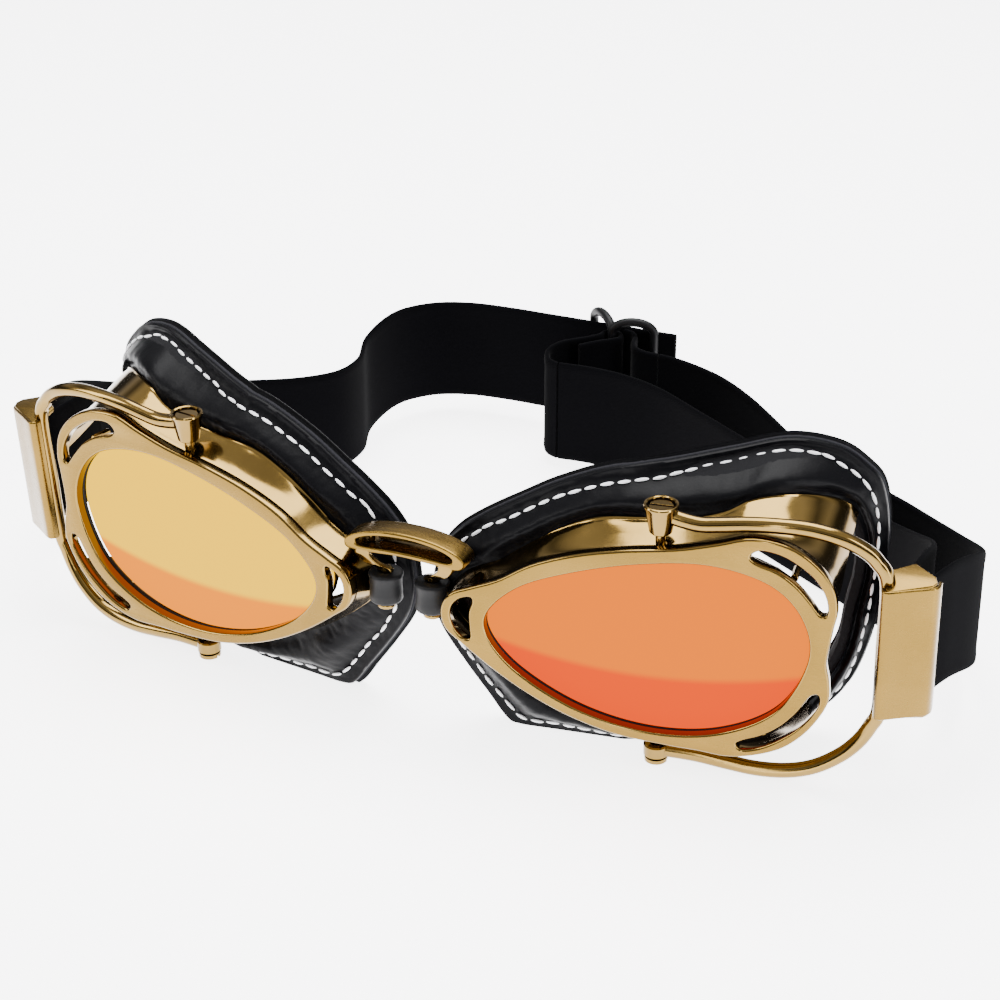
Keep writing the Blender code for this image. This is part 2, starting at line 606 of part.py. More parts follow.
def make_pivots(side, name):
    """Slotted screws that the bail's eyes turn on, each held by a nut inside the wall."""
    body = "cup_" + name
    axis = (0, 1, BAIL_SLOPE)
    for place, end, direction in (("upper", PIVOT_TOP, 1), ("lower", PIVOT_BOTTOM, -1)):
        head = SCREW_HEAD_HEIGHT if direction > 0 else 0.9
        sunk = 0.5 if direction > 0 else -head - GAP
        base = end - direction * sunk
        length = 9.3 if direction > 0 else 7.4
        profile = [(SCREW_HEAD_RADIUS, 0), (SCREW_HEAD_RADIUS, -head), (SCREW_RADIUS, -head),
                   (SCREW_RADIUS, -length)]
        screw = turned(profile, (PIVOT_X, base, axis_z(base, PIVOT_Z)),
                       tuple(direction * c for c in axis), 20)
        made = cup_part("pivot_screw_%s_%s" % (place, name), screw, side, body, POLISHED)
        slot = bmesh.new()
        bmesh.ops.create_cube(slot, size=1)
        for vert in slot.verts:
            vert.co = Vector((PIVOT_X + vert.co.x * 8, base + vert.co.y * 1.0,
                              axis_z(base, PIVOT_Z) + vert.co.z * SCREW_SLOT))
        place_cup(slot, side)
        combine(made, cutter("driver_slot_%s_%s" % (place, name), slot), "DIFFERENCE")


def make_bail(side, name):
    """Brass wire bent into a stirrup, with a tapered eye on the upper pivot and a flat one below."""
    body = "bail_" + name
    upright = [(UPRIGHT_X, y, upright_z(y))
               for y in (UPRIGHT_TOP, (UPRIGHT_TOP + UPRIGHT_BOTTOM) / 2, UPRIGHT_BOTTOM)]
    route = catmull([Vector(p) for p in BAIL_TOP + upright + BAIL_LOW], False, 2)
    wire = tube(route, BAIL_RADIUS, 8)
    bail = cup_part(body, wire, side, body, POLISHED)
    axis = (0, 1, BAIL_SLOPE)
    upper = turned([(EYE_FOOT_RADIUS, 0), (EYE_TOP_RADIUS - 0.3, EYE_HEIGHT - 0.8), (EYE_TOP_RADIUS, EYE_HEIGHT - 0.3),
                    (EYE_TOP_RADIUS - 0.3, EYE_HEIGHT)],
                   (PIVOT_X, PIVOT_TOP - EYE_HEIGHT, axis_z(PIVOT_TOP - EYE_HEIGHT, PIVOT_Z)), axis, 24)
    place_cup(upper, side)
    combine(bail, cutter("upper_eye_" + name, upper), "UNION")
    lower = turned([(2.6, 0), (2.6, LOWER_EYE_HEIGHT)],
                   (PIVOT_X, PIVOT_BOTTOM, axis_z(PIVOT_BOTTOM, PIVOT_Z)), axis, 24)
    place_cup(lower, side)
    combine(bail, cutter("lower_eye_" + name, lower), "UNION")
    recess = SCREW_HEAD_HEIGHT + 0.5 + GAP
    bore = turned([(SCREW_HEAD_RADIUS + GAP, 3), (SCREW_HEAD_RADIUS + GAP, -recess),
                   (SCREW_RADIUS + GAP, -recess), (SCREW_RADIUS + GAP, -14)],
                  (PIVOT_X, PIVOT_TOP, axis_z(PIVOT_TOP, PIVOT_Z)), axis, 20)
    place_cup(bore, side)
    combine(bail, cutter("upper_bore_" + name, bore), "DIFFERENCE")
    bore = turned([(SCREW_RADIUS + GAP, -4), (SCREW_RADIUS + GAP, 8)],
                  (PIVOT_X, PIVOT_BOTTOM, axis_z(PIVOT_BOTTOM, PIVOT_Z)), axis, 16)
    place_cup(bore, side)
    combine(bail, cutter("lower_bore_" + name, bore), "DIFFERENCE")


def prism(section, low, high):
    """A solid between two heights; the section is (x, z) at the clip's middle height, low and high may
    give each corner its own height."""
    bm = bmesh.new()
    rows = []
    for ends in (low, high):
        row = []
        for k, (x, z) in enumerate(section):
            y = ends[k] if isinstance(ends, list) else ends
            row.append(bm.verts.new((x, y, z + UPRIGHT_SLOPE * (y - CLIP_MIDDLE))))
        rows.append(row)
    for k in range(len(section)):
        n = (k + 1) % len(section)
        bm.faces.new((rows[0][k], rows[0][n], rows[1][n], rows[1][k]))
    bmesh.ops.triangulate(bm, faces=[bm.faces.new(rows[0]), bm.faces.new(rows[1])])
    return bm


def bent_sheet(line, thick, low, high):
    """Sheet metal bent along a line of (x, z) points, standing between two heights."""
    bm = bmesh.new()
    rows = []
    for i, p in enumerate(line):
        along = (line[min(i + 1, len(line) - 1)] - line[max(i - 1, 0)]).normalized()
        back = p + Vector((along.y, -along.x)) * thick
        rows.append([bm.verts.new((q.x, y, q.y + UPRIGHT_SLOPE * (y - CLIP_MIDDLE)))
                     for q, y in ((p, low), (p, high), (back, high), (back, low))])
    skin_rows(bm, rows)
    return bm


def make_clip(side, name):
    """Folded brass clip: a flat cover in front of the strap's loop, closed by triangular end caps that
    hook round the bail's upright, with a steel pin inside for the strap."""
    body = "clip_" + name
    line = [Vector(p) for p in ((45.1, -4.4), (45.4, -3.4), (46.4, -2.9), (54.6, -6.8),
                                (55.8, -7.8), (56.1, -9), (56.1, -10.2))]
    half = CLIP_HEIGHT / 2
    cover = bent_sheet(line, CLIP_THICK, CLIP_MIDDLE - half, CLIP_MIDDLE + half)
    clip = cup_part("strap_" + body, cover, side, body, BRUSHED)
    corners = [(46.2, -3.5), (54.6, -7.2), (55.3, -8.4), (54.8, -10), (50.6, -13.4), (45.6, -10.2), (45.3, -8)]
    front, apex = -4.0, -13.4
    for which in (1, -1):
        slope = [CAP_RISE * min(max((front - z) / (front - apex), 0.0), 1.0) for _, z in corners]
        outer = [CLIP_MIDDLE + which * (half - 0.2 + rise) for rise in slope]
        inner = [CLIP_MIDDLE + which * (half - 0.2 - CLIP_THICK + rise) for rise in slope]
        cap = prism(corners, min(outer, inner), max(outer, inner))
        place_cup(cap, side)
        combine(clip, cutter("cap_%s_%s" % ("top" if which > 0 else "low", name), cap), "UNION")
    bore = turned([(BAIL_RADIUS + GAP, -half - 4), (BAIL_RADIUS + GAP, half + 4)],
                  (UPRIGHT_X, CLIP_MIDDLE, upright_z(CLIP_MIDDLE)), (0, 1, UPRIGHT_SLOPE), 16)
    place_cup(bore, side)
    combine(clip, cutter("upright_bore_" + name, bore), "DIFFERENCE")
    reach = half - 0.2 - CLIP_THICK - GAP
    pin = turned([(STRAP_PIN_RADIUS, -reach), (STRAP_PIN_RADIUS, reach)],
                 (STRAP_PIN[0], CLIP_MIDDLE, STRAP_PIN[1]), (0, 1, 0), 12)
    cup_part("strap_pin_" + name, pin, side, body, POLISHED)


def make_posts(side, name):
    """Small brass posts that hold the lens retainer to the bezel behind the two temple vents."""
    for place, x, y in (("upper", 28.6, 17.7), ("lower", 24.2, -17.2)):
        post = turned([(POST_RADIUS, 0), (POST_RADIUS, -4.6)], (x, y, -BEZEL_THICK - GAP), (0, 0, 1), 10)
        cup_part("vent_post_%s_%s" % (place, name), post, side, "cup_" + name, POLISHED)


# ---------------------------------------------------------------- bridge
def make_bridge():
    """The arched nose band with its two curved legs, whose pins turn in the rubber bushes."""
    loops = []
    for y in (BAND_Y - BAND_DEPTH / 2, BAND_Y + BAND_DEPTH / 2):
        outer, inner = [], []
        for k in range(40):
            angle = math.tau * k / 40
            squash = 0.72
            cx = math.copysign(abs(math.cos(angle)) ** squash, math.cos(angle))
            cz = math.copysign(abs(math.sin(angle)) ** squash, math.sin(angle))
            for ring, wide, high in ((outer, BAND_WIDTH / 2, BAND_HEIGHT / 2),
                                     (inner, BAND_WIDTH / 2 - 2.6, BAND_HEIGHT / 2 - BAND_WALL)):
                x = cx * wide
                arch = -BAND_ARCH * (x / (BAND_WIDTH / 2)) ** 2
                ring.append(bridge_point(x, y, BAND_Z + arch + cz * high))
        loops.append((outer, inner))
    (front_out, front_in), (rear_out, rear_in) = loops
    band = add_object("bridge_band", mesh_from(hoop([front_out, rear_out, rear_in, front_in]), "bridge_band"),
                      "bridge", BRUSHED)
    for side, name in ((1, "left"), (-1, "right")):
        hinge = PIVOTS["cup_" + name]
        hinge_x = hinge.x - BRIDGE_X
        hinge_y = hinge.y - BRIDGE_Y
        top_x = side * (BAND_WIDTH / 2 - 4.2)
        front_y = BAND_Y - BAND_DEPTH / 2 + LEG_THICK / 2 + 0.1
        bush_top = hinge.z + BUSH_HEIGHT / 2
        rim = BAND_Z - BAND_ARCH * (top_x / (BAND_WIDTH / 2)) ** 2 - BAND_HEIGHT / 2
        route = [(top_x, front_y, rim + 0.8), (top_x, front_y, rim - 0.5),
                 (hinge_x + side * 2.2, (front_y + hinge_y) / 2 - 0.3, bush_top + 2.0),
                 (hinge_x + side * 0.4, hinge_y - 0.2, bush_top + 1.0), (hinge_x, hinge_y, bush_top + GAP)]
        points = catmull(route, False, 3)
        bm = bmesh.new()
        rows = []
        for p in points:
            rows.append([bm.verts.new(bridge_point(p.x + dx * LEG_WIDTH / 2, p.y + dy * LEG_THICK / 2, p.z))
                         for dx, dy in ((-1, -1), (1, -1), (1, 1), (-1, 1))])
        skin_rows(bm, rows)
        combine(band, cutter("leg_" + name, bm), "UNION")
        foot = hinge - Vector((0, 0, BUSH_HEIGHT / 2))
        pin = turned([(PIN_RADIUS, -GAP), (PIN_RADIUS, BUSH_HEIGHT + 1.4)], foot, (0, 0, 1), 16)
        combine(band, cutter("leg_pin_" + name, pin), "UNION")
        cap = turned([(CAP_RADIUS - 0.3, -2 * GAP - CAP_HEIGHT), (CAP_RADIUS, -2 * GAP - CAP_HEIGHT + 0.3),
                      (CAP_RADIUS, -2 * GAP)], foot, (0, 0, 1), 16)
        add_object("leg_cap_" + name, mesh_from(cap, "leg_cap_" + name), "bridge", POLISHED)
        post_x = side * POST_X
        arch = -BAND_ARCH * (post_x / (BAND_WIDTH / 2)) ** 2
        reach = BAND_HEIGHT / 2 - BAND_WALL - GAP - 0.3
        post = turned([(POST_RADIUS * 0.9, -reach), (POST_RADIUS * 0.9, reach)],
                      bridge_point(post_x, BAND_Y + 0.4, BAND_Z + arch - 0.1), (0, 0, 1), 10)
        add_object("bridge_post_" + name, mesh_from(post, "bridge_post_" + name), "bridge", POLISHED)
    plate = bmesh.new()
    rows = []
    reach = BAND_HEIGHT / 2 - BAND_WALL - GAP - 0.1
    for k in range(9):
        x = (POST_X - POST_RADIUS - GAP) * (k / 4 - 1)
        z = BAND_Z - BAND_ARCH * (x / (BAND_WIDTH / 2)) ** 2
        rows.append([plate.verts.new(bridge_point(x, BAND_Y + y, z + h))
                     for y, h in ((1.2, -reach), (2.2, -reach), (2.2, reach), (1.2, reach))])
    skin_rows(plate, rows)
    add_object("bridge_plate", mesh_from(plate, "bridge_plate"), "bridge", BRUSHED)
    return band


def make_strap_piece(name, route, body, drops, finish=WEBBING):
    """Elastic webbing standing on edge along a course in plan; drops gives the lower edge's height."""
    bm = bmesh.new()
    rows = []
    count = len(route)
    for i, p in enumerate(route):
        along = (route[min(i + 1, count - 1)] - route[max(i - 1, 0)]).normalized()
        across = Vector((-along.y, along.x)) * STRAP_THICK / 2
        low = drops[i]
        rows.append([bm.verts.new(bridge_point(p.x + sx * across.x, p.y + sx * across.y, z))
                     for sx, z in ((-1, low), (1, low), (1, low + STRAP_WIDTH), (-1, low + STRAP_WIDTH))])
    skin_rows(bm, rows)
    return add_object(name, mesh_from(bm, name), body, finish)


for SIDE, SIDE_NAME in ((1, "left"), (-1, "right")):
    make_bezel(SIDE, SIDE_NAME)
    make_wall(SIDE, SIDE_NAME)
    make_lens(SIDE, SIDE_NAME)
    make_pad(SIDE, SIDE_NAME)
    make_hinge_bush(SIDE, SIDE_NAME)
    make_pivots(SIDE, SIDE_NAME)
    make_bail(SIDE, SIDE_NAME)
    make_clip(SIDE, SIDE_NAME)
    make_posts(SIDE, SIDE_NAME)
make_bridge()


# ---------------------------------------------------------------- strap and slider
def strap_drop(p):
    """Height of the strap's lower edge: up at the clips, on the ground from the temples back."""
    clip_low = LENS_HEIGHT + CLIP_MIDDLE - STRAP_WIDTH / 2
    share = min(max((p.y - 24) / 66, 0.0), 1.0)
    back = min(max((p.y - 118) / 26, 0.0), 1.0)
    return clip_low * (1 - share * share * (3 - 2 * share)) + SLIDER_LIFT * back * back * (3 - 2 * back)


def strap_part(name, course, body):
    route = catmull([Vector(p) for p in course], False, 3)
    make_strap_piece(name, route, body, [strap_drop(p) for p in route])


def make_slider():
    """Black three-bar slider: two stadium loops side by side that the strap weaves through."""
    low = SLIDER_BAR
    high = SLIDER_HEIGHT - SLIDER_BAR
    turn = 3.0
    bars = (LEFT_BAR, CENTRE_BAR, RIGHT_BAR)
    made = None
    for number, (first, second) in enumerate(zip(bars, bars[1:])):
        a, b = Vector(first), Vector(second)
        step = b - a
        points = []
        for end, way in ((high, 1), (low, -1)):
            pair = (a, b) if way > 0 else (b, a)
            for k in range(6):
                angle = math.pi * k / 5
                flat = pair[0].lerp(pair[1], (1 - math.cos(angle)) / 2)
                points.append(bridge_point(flat.x, flat.y, end - way * turn * (1 - math.sin(angle))))
        bm = hoop_tube(points, SLIDER_BAR, 8)
        if made is None:
            made = add_object("slider", mesh_from(bm, "slider"), "slider", PLASTIC)
        else:
            combine(made, cutter("slider_loop_%d" % number, bm), "UNION")


def hoop_tube(points, radius, sides):
    """A round bar whose ends meet."""
    centre = sum(points, Vector()) / len(points)
    count = len(points)
    normal = Vector()
    for i, p in enumerate(points):
        normal += (p - centre).cross(points[(i + 1) % count] - centre)
    normal.normalize()
    loops = []
    for k in range(sides):
        angle = math.tau * k / sides
        loop = []
        for i, p in enumerate(points):
            along = (points[(i + 1) % count] - points[i - 1]).normalized()
            out = along.cross(normal)
            loop.append(p + (out * math.cos(angle) + normal * math.sin(angle)) * radius)
        loops.append(loop)
    return hoop(loops)


strap_part("strap_webbing_left", STRAP_LEFT, "strap_left")
strap_part("strap_webbing_right", STRAP_RIGHT, "strap_right")
strap_part("strap_fold", STRAP_FOLD, "slider")
strap_part("strap_weave", STRAP_WEAVE, "slider")
make_slider()
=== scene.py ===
import math
import bpy
import bmesh
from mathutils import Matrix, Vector, noise


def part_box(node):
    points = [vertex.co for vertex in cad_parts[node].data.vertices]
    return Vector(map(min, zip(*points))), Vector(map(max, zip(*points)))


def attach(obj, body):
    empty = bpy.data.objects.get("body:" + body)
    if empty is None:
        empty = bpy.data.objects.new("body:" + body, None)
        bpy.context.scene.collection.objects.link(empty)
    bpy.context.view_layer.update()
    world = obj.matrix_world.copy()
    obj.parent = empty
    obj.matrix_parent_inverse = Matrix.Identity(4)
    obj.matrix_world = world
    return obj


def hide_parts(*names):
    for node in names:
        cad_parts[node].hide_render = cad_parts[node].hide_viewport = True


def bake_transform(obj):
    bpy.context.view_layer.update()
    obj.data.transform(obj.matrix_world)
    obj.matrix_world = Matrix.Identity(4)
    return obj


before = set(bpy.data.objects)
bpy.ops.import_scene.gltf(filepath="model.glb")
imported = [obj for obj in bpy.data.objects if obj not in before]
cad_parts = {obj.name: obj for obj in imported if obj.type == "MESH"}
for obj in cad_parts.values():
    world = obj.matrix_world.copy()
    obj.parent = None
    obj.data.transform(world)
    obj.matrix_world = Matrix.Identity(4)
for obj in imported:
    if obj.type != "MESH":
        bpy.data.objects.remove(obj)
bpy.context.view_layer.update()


# ------------------------------------------------------------------ bezels
# The flat front plate of each cup, cast in brass: a waisted oval with the lens opening and three
# crescent vents, every edge broken with a small polished radius in the lighter gold, partly real polish and partly
# a painted highlight line.
# Each cup has its own frame in millimetres: x from the nose to the temple, y up, z out of the lens, zero
# in the middle of the lens opening. MID is the point half-way between the nose hinges at lens height.
band_low, band_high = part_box("bridge_band")
foot_low, foot_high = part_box("leg_cap_left")
HINGE_BACK = 0.07
CAP_TO_LENS = 2.25
MID = Vector(((band_low.x + band_high.x) * 500, (foot_low.y + foot_high.y) * 500 - HINGE_BACK,
              foot_high.z * 1000 + CAP_TO_LENS))
WRAP = math.radians(9.0)
SPREAD = 50.8
STRETCH = 1.5


def cup(p, side):
    x, y, z = p
    across = SPREAD + x * math.cos(WRAP) + z * math.sin(WRAP)
    return Vector((MID.x + side * across, MID.y + x * math.sin(WRAP) - z * math.cos(WRAP), MID.z + y)) / 1000


def curve_through(points, closed, steps):
    points = [Vector(p) for p in points]
    count = len(points)
    made = []
    for i in range(count if closed else count - 1):
        if closed:
            a, b, c, d = (points[(i + k) % count] for k in (-1, 0, 1, 2))
        else:
            a, b, c, d = (points[min(max(i + k, 0), count - 1)] for k in (-1, 0, 1, 2))
        for s in range(steps):
            t = s / steps
            made.append(0.5 * (2 * b + (c - a) * t + (2 * a - 5 * b + 4 * c - d) * t * t
                               + (3 * b - a - 3 * c + d) * t ** 3))
    if not closed:
        made.append(points[-1])
    return made


def around(outline, count, margin=0.0):
    """The outline at even angles round the lens centre, grown outwards by margin."""
    dense = sorted((math.atan2(p.y, p.x / STRETCH), math.hypot(p.x / STRETCH, p.y))
                   for p in curve_through(outline, True, 24))
    dense = [(dense[-1][0] - math.tau, dense[-1][1])] + dense + [(dense[0][0] + math.tau, dense[0][1])]
    ring, k = [], 0
    for i in range(count):
        angle = -math.pi + math.tau * i / count
        while dense[k + 1][0] < angle:
            k += 1
        (a0, r0), (a1, r1) = dense[k], dense[k + 1]
        radius = r0 + (r1 - r0) * (angle - a0) / max(a1 - a0, 1e-9)
        ring.append(Vector((STRETCH * radius * math.cos(angle), radius * math.sin(angle))))
    if margin:
        moved = []
        for i, p in enumerate(ring):
            along = ring[(i + 1) % count] - ring[i - 1]
            moved.append(p + Vector((along.y, -along.x)).normalized() * margin)
        ring = moved
    return ring


def settle(name, mesh, body, replaced, finish, sharp=38.0):
    mesh.materials.clear()
    mesh.materials.append(finish)
    mesh.shade_smooth()
    mesh.set_sharp_from_angle(angle=math.radians(sharp))
    piece = bpy.data.objects.new(name, mesh)
    bpy.context.scene.collection.objects.link(piece)
    if replaced:
        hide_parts(*replaced)
    if body:
        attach(piece, body)
    return piece


def keep(name, bm, body, replaced, finish, sharp=38.0):
    """Turns a bmesh into a finished piece that rides on its body."""
    bmesh.ops.recalc_face_normals(bm, faces=bm.faces)
    if bm.calc_volume(signed=True) < 0:
        bmesh.ops.reverse_faces(bm, faces=bm.faces)
    mesh = bpy.data.meshes.new(name)
    bm.to_mesh(mesh)
    bm.free()
    return settle(name, mesh, body, replaced, finish, sharp)


def metal(name, colour, dark, roughness, grain, grain_scale):
    made = bpy.data.materials.new(name)
    made.use_nodes = True
    tree = made.node_tree
    shader = tree.nodes["Principled BSDF"]
    place = tree.nodes.new("ShaderNodeTexCoord")
    turn = tree.nodes.new("ShaderNodeMapping")
    turn.inputs["Scale"].default_value = grain_scale
    tree.links.new(place.outputs["Object"], turn.inputs["Vector"])
    brush = tree.nodes.new("ShaderNodeTexNoise")
    brush.inputs["Scale"].default_value = 1000
    brush.inputs["Detail"].default_value = 3
    tree.links.new(turn.outputs["Vector"], brush.inputs["Vector"])
    patch = tree.nodes.new("ShaderNodeTexNoise")
    patch.inputs["Scale"].default_value = 55
    patch.inputs["Detail"].default_value = 4
    tree.links.new(place.outputs["Object"], patch.inputs["Vector"])
    tone = tree.nodes.new("ShaderNodeMix")
    tone.data_type = "RGBA"
    tone.inputs["A"].default_value = (*colour, 1)
    tone.inputs["B"].default_value = (*dark, 1)
    tree.links.new(patch.outputs["Fac"], tone.inputs["Factor"])
    tree.links.new(tone.outputs["Result"], shader.inputs["Base Color"])
    rough = tree.nodes.new("ShaderNodeMapRange")
    rough.inputs["To Min"].default_value = roughness * 0.75
    rough.inputs["To Max"].default_value = roughness * 1.3
    tree.links.new(brush.outputs["Fac"], rough.inputs["Value"])
    tree.links.new(rough.outputs["Result"], shader.inputs["Roughness"])
    bump = tree.nodes.new("ShaderNodeBump")
    bump.inputs["Strength"].default_value = grain
    bump.inputs["Distance"].default_value = 0.00005
    tree.links.new(brush.outputs["Fac"], bump.inputs["Height"])
    tree.links.new(bump.outputs["Normal"], shader.inputs["Normal"])
    shader.inputs["Metallic"].default_value = 1.0
    return made


# Antique gold plate, satin with fine brushing on the faces and polished elsewhere, both a little darker in
# patches where the lacquer is thin.
SATIN = metal("satin_gold", (0.185, 0.112, 0.024), (0.105, 0.062, 0.012), 0.26, 0.35, (0.12, 1.0, 1.0))
BRIGHT = metal("bright_gold", (0.225, 0.145, 0.042), (0.13, 0.08, 0.02), 0.13, 0.10, (1.0, 0.1, 1.0))
LENS_OPENING = [(32.4, 1), (31, 10), (24.5, 16.6), (13, 19.3), (0, 18), (-14, 14.3), (-26, 8.9),
                (-32.2, 0.8), (-27, -8.2), (-13.8, -16), (1, -19.2), (15.2, -17.5), (26.8, -10.6)]
BEZEL = [(36.1, 1.5), (36.8, 8), (37.5, 13), (36.4, 18), (33, 22.3), (27.6, 25.5), (20.4, 26.3),
         (13.5, 24.2), (6, 22.2), (-4.8, 20.4), (-14, 18.2), (-22.6, 14.9), (-29.5, 10.6),
         (-35, 8.2), (-39.3, 6.2), (-41.2, 2.6), (-40.4, -1.6), (-36.6, -5), (-29.9, -10.1),
         (-22.2, -14.8), (-14.1, -18.4), (-4.9, -20.9), (5.5, -21.8), (11.5, -22), (17.5, -22.4),
         (23, -21.3), (28.3, -18.9), (32.2, -15.4), (35, -11.4), (36.9, -7), (36.8, -2.6)]
PLATE_THICK = 2.4
PLATE_ROUND = 0.55
VENTS = [[(20.3, 22.4), (22.2, 23.9), (26.4, 23.3), (30.2, 21.3), (33.2, 18.8), (35.2, 15.4),
          (35.6, 12.2), (34.3, 11.8), (32.2, 14.4), (29.4, 17.4), (25.8, 19.8), (21.8, 21.1)],
         [(35, -6), (34.8, -8.8), (31.8, -13.3), (28, -16.8), (24.2, -19.2), (20.6, -20.3),
          (19.4, -19.2), (20.9, -18.1), (24.4, -16.5), (28, -13.8), (31, -10.2), (33.4, -6.3)],
         [(-35.2, 5.9), (-37.4, 5.2), (-38.9, 3.4), (-39.2, 1), (-38.3, -1.6), (-36.6, -3.4),
          (-35.2, -3.2), (-35.3, -0.8), (-35.4, 2.4), (-34.7, 4.8)]]
for side, name in ((1, "left"), (-1, "right")):
    outline = bpy.data.curves.new("bezel", "CURVE")
    outline.dimensions = "2D"
    outline.fill_mode = "BOTH"
    outline.extrude = PLATE_THICK / 2 - PLATE_ROUND
    outline.bevel_depth = PLATE_ROUND
    outline.bevel_resolution = 4
    outline.offset = -PLATE_ROUND
    rings = [around(BEZEL, 220), around(LENS_OPENING, 180)] + [curve_through(v, True, 6) for v in VENTS]
    for ring in rings:
        spline = outline.splines.new("POLY")
        spline.points.add(len(ring) - 1)
        for point, p in zip(spline.points, ring):
            point.co = (p.x, p.y, 0, 1)
        spline.use_cyclic_u = True
    drawn = bpy.data.objects.new("bezel_drawn", outline)
    bpy.context.scene.collection.objects.link(drawn)
    bpy.context.view_layer.update()
    mesh = bpy.data.meshes.new_from_object(drawn.evaluated_get(bpy.context.evaluated_depsgraph_get()))
    bpy.data.objects.remove(drawn)
    bm = bmesh.new()
    bm.from_mesh(mesh)
    bmesh.ops.remove_doubles(bm, verts=bm.verts, dist=0.002)
    for v in bm.verts:
        v.co = cup((v.co.x, v.co.y, v.co.z - PLATE_THICK / 2), side)
    plate = keep("bezel_plate_" + name, bm, "cup_" + name, ["bezel_" + name], SATIN, 30)
    # The rounded edge faces take the polished gold, which is also mixed lighter: real polish plus a painted
    # highlight line round the rim.
    plate.data.materials.append(BRIGHT)
    front = (cup((0, 0, 1), side) - cup((0, 0, 0), side)).normalized()
    for face in plate.data.polygons:
        face.material_index = 0 if abs(face.normal.dot(front)) > 0.97 else 1


# ------------------------------------------------------------------ cup walls
# Polished brass sheet rolled from the bezel back to the leather, flaring towards the rear and cut
# away at the temple for air. The cut edges are bright, and the rear rim is rolled over the leather.


def skin(bm, rows, close_rows=True, close_ends=False, caps=True, uv=None):
    """Skins rows of points; close_rows joins each row's ends, close_ends joins the last row to the first."""
    made = [[bm.verts.new(p) for p in row] for row in rows]
    width = len(made[0])
    last = len(made) if close_ends else len(made) - 1
    layer = bm.loops.layers.uv.verify() if uv else None
    for i in range(last):
        a, b = made[i], made[(i + 1) % len(made)]
        for k in range(width if close_rows else width - 1):
            n = (k + 1) % width
            face = bm.faces.new((a[k], a[n], b[n], b[k]))
            if uv:
                u, v = uv
                for loop, pair in zip(face.loops, ((i, k), (i, k + 1), (i + 1, k + 1), (i + 1, k))):
                    loop[layer].uv = (u[pair[0]], v[pair[1]])
    if caps and not close_ends:
        bm.faces.new(made[0])
        bm.faces.new(list(reversed(made[-1])))
    return made


WALL_RIM = [(38.4, 0), (39.6, 8), (39.4, 16), (36.6, 24), (31.7, 27.8), (25, 29.6), (18.6, 29.2), (13.5, 26.6),
            (6, 24.6), (-3, 23.6), (-11, 22.6), (-18, 19.6), (-25.3, 14.9), (-31, 10.8), (-38, 7.2),
            (-41.4, 3), (-40.9, -2.4), (-36.6, -7), (-29.9, -12.2), (-22.2, -16.9), (-14.1, -20.6),
            (-4.9, -23.1), (5.5, -24), (17.5, -24.4), (25.5, -22.4), (32.5, -17.6), (37, -9.5)]
WALL_THICK = 0.9
WALL_FRONT = -2.7


def wall_depth(x):
    return -9.0 - 0.0185 * max(0.0, x - 8.0) ** 2


for side, name in ((1, "left"), (-1, "right")):
    fine = 720
    front, rear = around(BEZEL, fine, -0.25), around(WALL_RIM, fine)
    shares = [0, 0.06, 0.14, 0.3, 0.5, 0.7, 0.86, 0.94, 0.97, 1.0]
    flare = [0, 0.02, 0.08, 0.22, 0.46, 0.72, 0.9, 0.97, 1.05, 1.04]
    outer, inner = [], []
    for share, out in zip(shares, flare):
        ring = [Vector((*(a + (b - a) * out), WALL_FRONT + (wall_depth(b.x) - WALL_FRONT) * share))
                for a, b in zip(front, rear)]
        high = min(i for i in range(fine // 2, fine) if ring[i].y > 13.6 - (ring[i].z - WALL_FRONT) * 0.39)
        low = max(i for i in range(fine // 4, fine // 2)
                  if ring[i].y < -12.6 + (ring[i].z - WALL_FRONT) * 0.37)
        span = low + fine - high
        row = []
        for k in range(241):
            at = high + span * k / 240
            i = int(at)
            row.append(ring[i % fine].lerp(ring[(i + 1) % fine], at - i))
        outer.append(row)
        under = []
        for k, p in enumerate(row):
            along = row[min(k + 1, 240)] - row[max(k - 1, 0)]
            under.append(p - Vector((along.y, -along.x, 0)).normalized() * WALL_THICK)
        inner.append(under)
    bm = bmesh.new()
    section = outer + list(reversed(inner))
    columns = [[cup(row[k], side) for row in section] for k in range(241)]
    skin(bm, columns)
    keep("cup_shell_" + name, bm, "cup_" + name, ["cup_wall_" + name], BRIGHT, 34)
    bm = bmesh.new()
    rows = []
    for x, half in ((-43.1, 1.3), (-42.6, 1.5), (-40.0, 1.6), (-39.6, 1.5)):
        rows.append([cup((x, 1.6 + half * math.sin(a), -7.2 + 0.8 * math.cos(a)), side)
                     for a in [math.tau * k / 16 for k in range(16)]])
    skin(bm, rows)
    keep("hinge_lug_" + name, bm, "cup_" + name, [], BRIGHT)


# ------------------------------------------------------------------ lenses
# Domed tinted mirror-coated lenses, orange on the wearer's left and yellow on the right. Their colour is emitted,
# a painted glow, and split along a curve into a lighter upper and a deeper lower tint, a painted reflection.
# Each is held against a dark rubber gasket that shows as a thin dark line in the recess.


